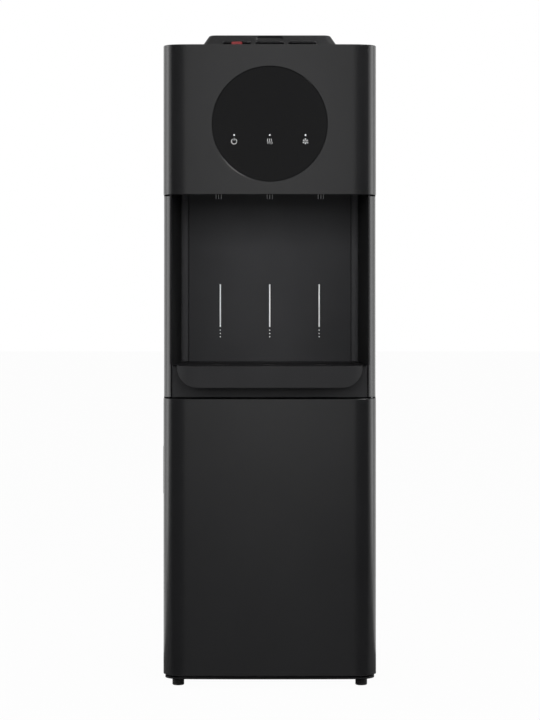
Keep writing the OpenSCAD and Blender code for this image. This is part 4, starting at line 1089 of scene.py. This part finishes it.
class DISPENSER_OT_bottle_seat(Operator):
    """Sloped bottle collar with its finger recess"""

    bl_idname = "dispenser.bottle_seat"
    bl_label = "Bottle seat"

    def execute(self, context):
        s = sizes()
        low, high = COLLAR
        height = high.z - low.z
        mouth = (0, (low.y + high.y) / 2, high.z)
        collar = self.frustum("collar_moulding", 0, low.z, high.z)
        round_edges(collar, 2.2 * MM, 4, lambda e: min(v.co.z for v in e.verts) > high.z - TINY)
        inset = 4.2 * MM + 0.03 * s.collar_lean * height
        hollow = self.frustum("collar_hollow", inset, low.z - 1 * MM, high.z - s.wall)
        bore(hollow, s.mouth_radius + s.wall, mouth, sides=96, depth=5 * THROUGH)
        combine(collar, hollow)
        bore(collar, s.mouth_radius, mouth, sides=128, depth=5 * THROUGH)
        half = Vector((19.25, 4.25, 0)) * MM
        deep, proud = Vector((0, 0, 2.6 * MM)), Vector((0, 0, 3 * MM))
        notch = block("finger_notch", -half - deep, half + proud)
        round_edges(notch, 4.2 * MM, 8, lambda e: runs(e, "Z"))
        up = height - 5 * MM
        spot = (0, low.y + up * s.collar_lean, low.z + up)
        put(notch, spot, (math.pi / 2 - math.atan(s.collar_lean), 0, 0))
        combine(collar, notch)
        soften(collar, 0.5 * MM, 2)
        fit(collar, "bottle_seat", "collar_plastic", "key", "bottle_collar")
        dress("dark", "bottle_funnel")
        dress("white", "bottle_probe")
        dress("rubber", "probe_seal")
        return {"FINISHED"}

    def frustum(self, name, inset, bottom, top):
        """A block with the collar's leaning sides and rounded corners."""
        low, high = COLLAR
        half_x, half_y = high.x - inset, (high.y - low.y) / 2 - inset
        piece = block(name, (-half_x, low.y + inset, bottom), (half_x, high.y - inset, top))
        pick(piece, "VERT", lambda v: v.co.z > top - TINY)
        lean = sizes().collar_lean * (top - bottom)
        bpy.ops.transform.resize(
            value=(1 - lean / half_x, 1 - lean / half_y, 1),
            center_override=(0, (low.y + high.y) / 2, top),
        )
        clear()
        corner, rise = 9 * MM, (top - bottom) / 2
        round_edges(piece, corner, 8, lambda e: abs(e.verts[0].co.z - e.verts[1].co.z) > rise)
        return piece


class DISPENSER_OT_keys(Operator):
    """Three push keys and the child lock"""

    bl_idname = "dispenser.keys"
    bl_label = "Keys"

    def execute(self, context):
        key = self.key()
        lock_low, lock_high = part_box("child_lock")
        lock_high.z -= 0.9 * MM
        travel, past = 4 * MM, 5 * MM
        offsets = [(box_middle(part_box(body)).x, 0, 0) for body in KEY_BODIES]
        for body, copy in zip(KEY_BODIES, copies(key, offsets)):
            if body == "hot_key":
                low = lock_low - Vector((PLAY, past, PLAY))
                high = lock_high + Vector((PLAY, travel + PLAY, PLAY))
                combine(copy, block("lock_cut", low, high))
            shade(copy)
            copy.name = body + "_moulding"
            fit(copy, body, "key_plastic", "cap", body)
        lock = block("child_lock_slide", lock_low, lock_high)
        round_edges(lock, 0.48 * (lock_high.z - lock_low.z), 8, lambda e: runs(e, "Y"))
        soften(lock, 0.5 * MM)
        fit(lock, "child_lock", "lock_red", "lock", "child_lock")
        dress("white", "hot_push_rod", "room_push_rod", "cold_push_rod")
        return {"FINISHED"}

    def key(self):
        """A cap with a shallow dish, on a hollow stem."""
        low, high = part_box("room_key")
        cap_z, top_z = high.z - 4 * MM, high.z - 1.2 * MM
        cap = block("key_cap", (low.x, low.y, cap_z), (high.x, high.y, top_z))
        round_edges(cap, 6 * MM, 8, lambda e: runs(e, "Z"))
        round_edges(cap, 2.4 * MM, 6, lambda e: min(v.co.z for v in e.verts) > top_z - TINY)
        smallest_top = 1e-4
        dish(
            cap,
            lambda f: f.normal.z > FACING and f.calc_area() > smallest_top,
            0.7 * MM,
            1.5 * MM,
            (0, 0, -0.5 * MM),
        )
        half, front, back = 15 * MM, low.y + 6 * MM, low.y + 30 * MM
        stem = block("key_stem", (-half, front, low.z), (half, back, cap_z + 0.5 * MM))
        pick(stem, "FACE", lambda f: f.normal.z < -FACING)
        bpy.ops.mesh.inset(thickness=2 * MM)
        bpy.ops.mesh.extrude_region_move(TRANSFORM_OT_translate={"value": (0, 0, 12 * MM)})
        clear()
        return combine(cap, stem, "UNION")


# Base, sheets and what they enclose


class DISPENSER_OT_base(Operator):
    """Base and rubber feet"""

    bl_idname = "dispenser.base"
    bl_label = "Base and feet"

    def execute(self, context):
        low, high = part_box("feet")
        radius, height = 8.6 * MM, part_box("base_pan")[0].z + 2 * MM
        foot = drum("foot", radius, (0, 0, height / 2), height, sides=48)
        round_edges(foot, 1.4 * MM, 4, lambda e: max(v.co.z for v in e.verts) < TINY)
        clear()
        bpy.ops.mesh.primitive_torus_add(
            location=(0, 0, 9.5 * MM),
            major_radius=radius + 0.1 * MM,
            minor_radius=0.7 * MM,
            major_segments=48,
        )
        combine(foot, settle("foot_groove"))
        spots = [
            (x, y, 0)
            for x in (low.x + radius, high.x - radius)
            for y in (low.y + radius, high.y - radius)
        ]
        feet = join("rubber_feet", copies(shade(foot), spots))
        fit(feet, "cabinet", "rubber_black", "rubber", "feet")
        dress("base", "base_pan")
        return {"FINISHED"}


class DISPENSER_OT_sheets(Operator):
    """Side and rear sheets with louvres and screws, and the top deck"""

    bl_idname = "dispenser.sheets"
    bl_label = "Sheets"

    def execute(self, context):
        dress("sheet", "left_side_panel", "right_side_panel", "rear_panel")
        dress("key", "top_deck")
        self.screws()
        self.louvres()
        return {"FINISHED"}

    def screws(self):
        """Two rows of four round heads with a cross recess."""
        low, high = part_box("rear_screws")
        radius, height, rows = 3.52 * MM, 2 * MM, 4
        head = drum("screw_head", radius, (0, REAR_Y + height / 2, 0), height, "Y")
        face = REAR_Y + height - TINY
        round_edges(head, 0.9 * MM, 4, lambda e: min(v.co.y for v in e.verts) > face)
        long, narrow = 2.1 * MM, 0.45 * MM
        for x, z in ((long, narrow), (narrow, long)):
            combine(head, block("cross_cut", (-x, REAR_Y + 1 * MM, -z), (x, REAR_Y + 3 * MM, z)))
        rise = (high.z - low.z - 2 * radius) / (rows - 1)
        spots = [
            (x, 0, low.z + radius + rise * k)
            for x in (low.x + radius, high.x - radius)
            for k in range(rows)
        ]
        heads = join("screw_heads", copies(shade(head), spots))
        fit(heads, "cabinet", "bright_steel", "steel", "rear_screws")

    def louvres(self):
        """A rounded hood over each vent slot of the rear panel."""
        half, depth, low, high = 46 * MM, 2.6 * MM, 0.6 * MM, 6.4 * MM
        hood = block("louvre_hood", (-half, REAR_Y, low), (half, REAR_Y + depth, high))
        round_edges(
            hood,
            2.4 * MM,
            5,
            lambda e: runs(e, "X") and middle(e).y > REAR_Y + TINY and middle(e).z > 6 * MM,
        )
        end = half - 0.1 * MM
        round_edges(hood, 2 * MM, 4, lambda e: middle(e).y > REAR_Y + TINY and abs(middle(e).x) > end)
        reach, rows, pitch = 60 * MM, 6, 9 * MM
        lowest = DECK[1].z - 193 * MM
        spots = [(x, 0, lowest + pitch * k) for x in (-reach, reach) for k in range(rows)]
        hoods = join("rear_louvres", copies(shade(hood), spots))
        fit(hoods, "cabinet", "panel_steel", "sheet")


# Routes in millimetres: across, behind the front face, above the floor
REFRIGERANT_ROUTES = (
    (
        (30, 248.25, 177.2),
        (30, 248.25, 191),
        (60, 278.25, 195),
        (127.9, 324, 183),
        (127.9, 348.1, 191),
        (127.9, 348.1, 310),
        (127.9, 348.1, 610),
        (127.9, 348.1, 650),
        (106.1, 348.1, 650),
        (92.1, 348.1, 650),
    ),
    (
        (-92.1, 348.1, 250),
        (-104.1, 348.1, 250),
        (-106.1, 348.1, 191),
        (-102.1, 310, 181),
        (-94.1, 288.25, 171),
        (-94.1, 288.25, 141),
    ),
    (
        (0, 260.5, 782.5),
        (0, 280.2, 782.5),
        (85, 306, 742.5),
        (115, 308, 592.5),
        (115, 308, 429.5),
        (95, 304, 251),
        (-30, 248.25, 221),
        (-30, 248.25, 195),
        (-30, 248.25, 177.2),
    ),
)
KEY_PITCH = 47.7
KEY_DEPTH = 32
SPOUT_PITCH = 75
SPOUT_DEPTH = 55
SPOUT_ROUTES = tuple(
    (
        (k * KEY_PITCH, KEY_DEPTH, 807.2),
        (k * KEY_PITCH, KEY_DEPTH, 795.2),
        (k * KEY_PITCH, KEY_DEPTH, 787.2),
        (k * SPOUT_PITCH, SPOUT_DEPTH, 760.3),
        (k * SPOUT_PITCH, SPOUT_DEPTH, 752.3),
        (k * SPOUT_PITCH, SPOUT_DEPTH, 740.3),
    )
    for k in (-1, 0, 1)
)
WATER_ROUTES = (
    (
        (-22, 248.25, 608.5),
        (-22, 248.25, 620.5),
        (-22, 248.25, 628.5),
        (-95, 238.25, 652.5),
        (-125, 218.25, 712.5),
        (-125, 217, 782.5),
        (-125, 137, 808.5),
        (-115, 61.8, 838.5),
        (-77.7, 57.8, 838.5),
        (-KEY_PITCH, 66, 838.5),
        (-KEY_PITCH, 58, 838.5),
        (-KEY_PITCH, 46, 838.5),
    ),
    ((0, 70.8, 838.5), (0, 62, 838.5), (0, 54, 838.5), (0, 46, 838.5)),
    (
        (KEY_PITCH, 70.8, 770.5),
        (KEY_PITCH, 58.8, 770.5),
        (KEY_PITCH, 50.8, 770.5),
        (KEY_PITCH, 47.8, 804.5),
        (KEY_PITCH, 66, 838.5),
        (KEY_PITCH, 58, 838.5),
        (KEY_PITCH, 46, 838.5),
    ),
    (
        (36, 197, 738.5),
        (36, 197, 726.5),
        (36, 197, 718.5),
        (66, 228.25, 682.5),
        (96.5, 248.25, 592.5),
        (100.5, 248.25, 492.5),
        (98.5, 248.25, 452.5),
        (82.4, 248.25, 452.5),
        (74.4, 248.25, 452.5),
        (62.4, 248.25, 452.5),
    ),
    (
        (-62.4, 248.25, 452.5),
        (-74.4, 248.25, 452.5),
        (-82.4, 248.25, 452.5),
        (-129, 290, 450.5),
        (-129, 298, 450.5),
        (-129, 310, 450.5),
    ),
)


class DISPENSER_OT_cooling(Operator):
    """Condenser, compressor and refrigerant lines"""

    bl_idname = "dispenser.cooling"
    bl_label = "Cooling"

    def execute(self, context):
        self.net()
        dress("cooling", "condenser_tube", "compressor")
        dress("rubber", "compressor_mounts")
        lines = routed("line", REFRIGERANT_ROUTES, 2.4 * MM)
        dryer = drum("dryer", 9 * MM, place(-94.1, 288.25, 105.95), 69.9 * MM, sides=40)
        lines.append(soften(dryer, 3 * MM, 4))
        tubes = join("refrigerant_tubes", lines)
        fit(tubes, "cabinet", "copper_tube", "copper", "refrigerant_lines")
        return {"FINISHED"}

    def net(self):
        """The condenser's wires, with two straps and their spacers."""
        low, high = NET
        run, count, wire_r = 184 * MM, 30, 0.7 * MM
        centre = (0, high.y - wire_r, (low.z + high.z) / 2)
        wire = shade(drum("net_wire", wire_r, centre, high.z - low.z, sides=8))
        wires = copies(wire, [(run * (k / (count - 1) - 0.5), 0, 0) for k in range(count)])
        half, wide, strap_t, end = 4 * MM, 8 * MM, 1.4 * MM, 32 * MM
        for z in (low.z + end, high.z - end):
            strap = block("net_strap", (low.x, high.y - strap_t, z - half), (high.x, high.y, z + half))
            wires.append(soften(strap, 0.3 * MM, 2))
            for x in (low.x, high.x - wide):
                spacer = block("net_spacer", (x, REAR_Y, z - half), (x + wide, high.y, z + half))
                wires.append(soften(spacer, 0.8 * MM, 2))
        net = join("condenser_net", wires)
        fit(net, "cabinet", "condenser_steel", "cooling", "condenser_wires")


class DISPENSER_OT_plumbing(Operator):
    """Tanks, hoses, coil, valves and return springs"""

    bl_idname = "dispenser.plumbing"
    bl_label = "Plumbing"

    def execute(self, context):
        for name, routes, node in (
            ("spout_hose_set", SPOUT_ROUTES, "spout_hoses"),
            ("water_hose_set", WATER_ROUTES, "water_hoses"),
        ):
            hoses = join(name, routed("hose", routes, 4.9 * MM))
            fit(hoses, "cabinet", "hose_silicone", "hose", node)
        tank_depth, coil_r, coil_low, coil_pitch = 167, 69.6 * MM, 782.5 * MM, 8.8 * MM
        turns = coil(place(0, tank_depth, 0), coil_r, coil_low, coil_pitch, 5, 48)
        winding = swept("evaporator_winding", turns, 3 * MM)
        fit(winding, "cabinet", "copper_tube", "copper", "evaporator_coil")
        self.springs()
        dress("steel", "cold_tank", "hot_tank", "tank_shelf", "tank_plate", "valve_bracket")
        dress("foam", "cold_tank_foam", "hot_tank_lagging")
        dress("white", "tap_valves", "drain_outlet")
        dress("rubber", "drain_cap")
        break_edges(0.5 * MM, "drain_outlet", "drain_cap")
        return {"FINISHED"}

    def springs(self):
        """A return spring under each key."""
        foot, wire_r, radius, pitch, pressed = 849.7, 0.5 * MM, 4 * MM, 2.92 * MM, 0.744
        low = foot * MM + wire_r
        for k, body in zip((-1, 0, 1), KEY_BODIES):
            node = body.replace("_key", "_return_spring")
            x = k * KEY_PITCH
            turns = coil(place(x, KEY_DEPTH, 0), radius, low, pitch, 5, 24)
            spring = swept(node + "_wire", turns, wire_r, 2)
            fit(spring, "cabinet", "bright_steel", "steel", node)
            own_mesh(spring)


class DISPENSER_OT_electrics(Operator):
    """Switches, control box and cord entry"""

    bl_idname = "dispenser.electrics"
    bl_label = "Electrics"

    def execute(self, context):
        for body in ("hot_rocker", "cold_rocker"):
            self.rocker_marks(body)
        break_edges(0.5 * MM, "hot_rocker", "cold_rocker", "switch_frame", "cord_gland")
        dress("dark", "switch_frame")
        dress("red", "hot_rocker")
        dress("blue", "cold_rocker")
        dress("rubber", "cord_gland")
        dress("white", "control_box")
        return {"FINISHED"}

    def rocker_marks(self, body):
        """A bar on the upper half of a rocker and a ring on the lower half."""
        smallest_half = 1e-5
        faces = [
            p
            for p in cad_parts[body].data.polygons
            if p.normal.y > FACING and p.area > smallest_half
        ]
        for upper in (True, False):
            half = [p for p in faces if (p.normal.z < 0) == upper]
            if upper:
                mark = stroke(body + "_on_mark", [(0, -2.2 * MM), (0, 2.2 * MM)], 0.9 * MM)
            else:
                mark = arc_stroke(body + "_off_mark", 2 * MM, 0.8 * MM, 0, math.tau, 32)
            spot = sum((p.center for p in half), Vector()) / len(half)
            tilt = math.atan2(half[0].normal.z, half[0].normal.y)
            put(thicken(mark), spot, (tilt, 0, 0))
            fit(mark, body, "print_white", "marks")


# Stage, in metres

WHITE = (1, 1, 1, 1)
FLOOR_TONE = (0.88, 0.88, 0.88, 1)
# Share of the floor that shows as plain white to the camera, the rest keeps the shadow
FLOOR_GLOW = 0.97
# The photo's height and how far its middle lies from the camera's axis, in pixels
PHOTO_H = 720
PHOTO_SHIFT = (0.25, -80)
SENSOR_W = 36

# The lamps: place, turn in degrees from facing the back, and size across and upright
STRIP_PLACE = (1.7, 0.1, 0.62)
STRIP_TURN = 96
STRIP_SIZE = (0.8, 1.9)
FRONT_PLACE = (0, FRONT_Y - 4.1, 1.75)
FRONT_SIZE = (9.0, 1.8)

# The upright cards: distance from the front face, foot and height
CARD_REACH = 4.6
CARD_FOOT = 2 * MM
CARD_H = 4.396
# The side cards' ends, seen from the front face
CARD_NEAR = math.radians(8.5)
CARD_FAR = math.radians(66)
# Distances in front of the front face at which a card has its first and its last level
LEVEL_ENDS = (0.3, 9)


class DISPENSER_OT_stage(Operator):
    """Camera, floor and studio light"""

    bl_idname = "dispenser.stage"
    bl_label = "Stage"

    def execute(self, context):
        setup = context.scene.dispenser_stage
        context.scene.view_settings.view_transform = "Standard"
        clear()
        bpy.ops.object.camera_add(
            location=(0, FRONT_Y - setup.distance, setup.height), rotation=(math.pi / 2, 0, 0)
        )
        camera = bpy.context.object
        camera.data.lens = setup.lens
        camera.data.sensor_width = SENSOR_W
        camera.data.shift_x, camera.data.shift_y = (pixels / PHOTO_H for pixels in PHOTO_SHIFT)
        camera.data.clip_end = 60
        context.scene.camera = camera
        self.sky(context.scene, setup.sky)
        self.floor()
        self.cards()
        x, y, z = STRIP_PLACE
        for side in (-1, 1):
            self.lamp("strip_light", (side * x, y, z), side * STRIP_TURN, STRIP_SIZE, setup.strip_power)
        front = self.lamp("front_light", FRONT_PLACE, 0, FRONT_SIZE, setup.front_power)
        front.visible_glossy = False
        return {"FINISHED"}

    def lamp(self, name, location, turn, size, watts):
        """An upright soft light that faces the object."""
        bpy.ops.object.light_add(type="AREA", location=location)
        lamp = bpy.context.object
        lamp.name = name
        lamp.rotation_euler = (math.pi / 2, 0, math.radians(turn))
        lamp.data.shape = "RECTANGLE"
        lamp.data.size, lamp.data.size_y = size
        lamp.data.energy = watts
        lamp.visible_camera = False
        return lamp

    def seen(self, tree):
        """1 where a camera, glossy or transmission ray looks, and 0 for light that falls on things."""
        rays = tree.nodes.new("ShaderNodeLightPath").outputs
        result = rays["Is Camera Ray"]
        for name in ("Is Glossy Ray", "Is Transmission Ray"):
            result = add_node(tree, "Math", "Value", {0: result, 1: rays[name]}, operation="MAXIMUM")
        return result

    def sky(self, scene, strength):
        """White where it is seen, and an even grey as light."""
        scene.world = bpy.data.worlds.new("studio")
        scene.world.use_nodes = True
        tree = scene.world.node_tree
        even = tree.nodes["Background"]
        even.inputs["Color"].default_value = WHITE
        even.inputs["Strength"].default_value = strength
        white = add_node(tree, "Background", "Background", {"Color": WHITE})
        parts = {"Fac": self.seen(tree), 1: even.outputs["Background"], 2: white}
        mix = add_node(tree, "MixShader", "Shader", parts)
        tree.links.new(mix, tree.nodes["World Output"].inputs["Surface"])

    def floor(self):
        """A pale floor that is nearly white where it is seen and keeps the object's shadow."""
        clear()
        bpy.ops.mesh.primitive_plane_add(size=30, location=(0, 0, -0.2 * MM))
        floor = settle("studio_floor")
        made = Finish("pale_floor").set(Base_Color=FLOOR_TONE, Roughness=0.9, Specular_IOR_Level=0.0)
        share = {0: self.seen(made.tree), 1: FLOOR_GLOW}
        part = add_node(made.tree, "Math", "Value", share, operation="MULTIPLY")
        glow = add_node(made.tree, "Emission", "Emission", {})
        parts = {"Fac": part, 1: made.shader.outputs["BSDF"], 2: glow}
        made.surface(add_node(made.tree, "MixShader", "Shader", parts))
        floor.data.materials.append(made.material)

    def cards(self):
        """Grey cards that only show in reflections, as a photographer sets them. The floor card's level,
        lower near the object, is painted shade of the floor as the object reflects it.
        """
        upright = math.pi / 2
        card_z = CARD_FOOT + CARD_H / 2
        for side in (-1, 1):
            near, far = (
                Vector((side * math.sin(angle), -math.cos(angle), 0)) * CARD_REACH
                for angle in (CARD_NEAR, CARD_FAR)
            )
            along = far - near
            centre = (near + far) / 2 + Vector((0, FRONT_Y, card_z))
            turn = (upright, 0, math.atan2(along.y, along.x))
            card = self.card("side_card", centre, turn, (along.length, CARD_H), (0.03, 0.03))
            self.draw_foot(card, centre, Vector((side * 0.14, FRONT_Y - 0.01, CARD_FOOT)))
        # Painted shade of the floor in reflections, darkest near the object.
        floor_y = FRONT_Y - 6.2
        self.card("floor_painted_shade_card", (0, floor_y, 1 * MM), (0, 0, 0), (9, 13), (0.145, 0.32))
        self.card("ceiling_card", (0, 0.4, 2.7), (0, 0, 0), (7, 6), (0.4, 0.4))
        front, wide = (0, FRONT_Y - CARD_REACH, card_z), 2 * CARD_REACH * math.tan(CARD_NEAR)
        self.card("front_card", front, (upright, 0, 0), (wide, CARD_H), (0.84, 0.84))
        towards = Vector((0.53, -0.37, 0.77)) * 2.1
        turn = towards.to_track_quat("Z", "Y").to_euler()
        self.card("rim_card", towards + Vector((0, 0, 0.8)), turn, (0.9, 0.9), (24, 24))

    def draw_foot(self, card, centre, corner):
        """Draw a side card's foot over the floor to a corner of the object."""
        pick(card, "EDGE", lambda e: max(v.co.z for v in e.verts) < CARD_FOOT + 1 * MM)
        step = corner - Vector((centre.x, centre.y, CARD_FOOT))
        bpy.ops.mesh.extrude_region_move(TRANSFORM_OT_translate={"value": step})
        bpy.ops.transform.resize(value=(0.004, 0.004, 1), center_override=corner)
        clear()

    def card(self, name, location, turn, size, levels):
        """A glowing card whose level changes evenly with the distance in front of the object."""
        clear()
        bpy.ops.mesh.primitive_plane_add(size=1, location=location, rotation=turn)
        bpy.context.object.scale = (*size, 1)
        card = settle(name)
        made = Finish(name)
        depth = add_node(made.tree, "SeparateXYZ", "Y", {"Vector": made.where})
        level = made.spread(depth, *levels, [FRONT_Y - distance for distance in LEVEL_ENDS])
        made.surface(add_node(made.tree, "Emission", "Emission", {"Strength": level}))
        card.data.materials.append(made.material)
        card.visible_camera = False
        card.visible_diffuse = False
        card.visible_shadow = False
        card.visible_transmission = False
        return card


PIECES = (
    DISPENSER_OT_upper_panel,
    DISPENSER_OT_display,
    DISPENSER_OT_bay,
    DISPENSER_OT_tray,
    DISPENSER_OT_door,
    DISPENSER_OT_bottle_seat,
    DISPENSER_OT_keys,
    DISPENSER_OT_base,
    DISPENSER_OT_sheets,
    DISPENSER_OT_cooling,
    DISPENSER_OT_plumbing,
    DISPENSER_OT_electrics,
    DISPENSER_OT_stage,
)
GROUPS = {
    "dispenser_sizes": DispenserSizes,
    "dispenser_finish": DispenserFinish,
    "dispenser_stage": DispenserStage,
}


class DISPENSER_PT_pieces(Panel):
    """Pieces and settings of the dispenser"""

    bl_idname = "DISPENSER_PT_pieces"
    bl_label = "Water dispenser"
    bl_space_type = "VIEW_3D"
    bl_region_type = "UI"
    bl_category = "Dispenser"

    def draw(self, context):
        for group in GROUPS:
            box = self.layout.box()
            settings = getattr(context.scene, group)
            for name in settings.__annotations__:
                box.prop(settings, name)
        for piece in PIECES:
            self.layout.operator(piece.bl_idname)


def register():
    for group in GROUPS.values():
        bpy.utils.register_class(group)
    for piece in PIECES:
        bpy.utils.register_class(piece)
    bpy.utils.register_class(DISPENSER_PT_pieces)
    for name, group in GROUPS.items():
        setattr(bpy.types.Scene, name, PointerProperty(type=group))


def unregister():
    for name in GROUPS:
        delattr(bpy.types.Scene, name)
    bpy.utils.unregister_class(DISPENSER_PT_pieces)
    for piece in reversed(PIECES):
        bpy.utils.unregister_class(piece)
    for group in GROUPS.values():
        bpy.utils.unregister_class(group)


def main():
    register()
    for piece in PIECES:
        getattr(bpy.ops.dispenser, piece.bl_idname.split(".")[1])()


if __name__ == "__main__":
    main()
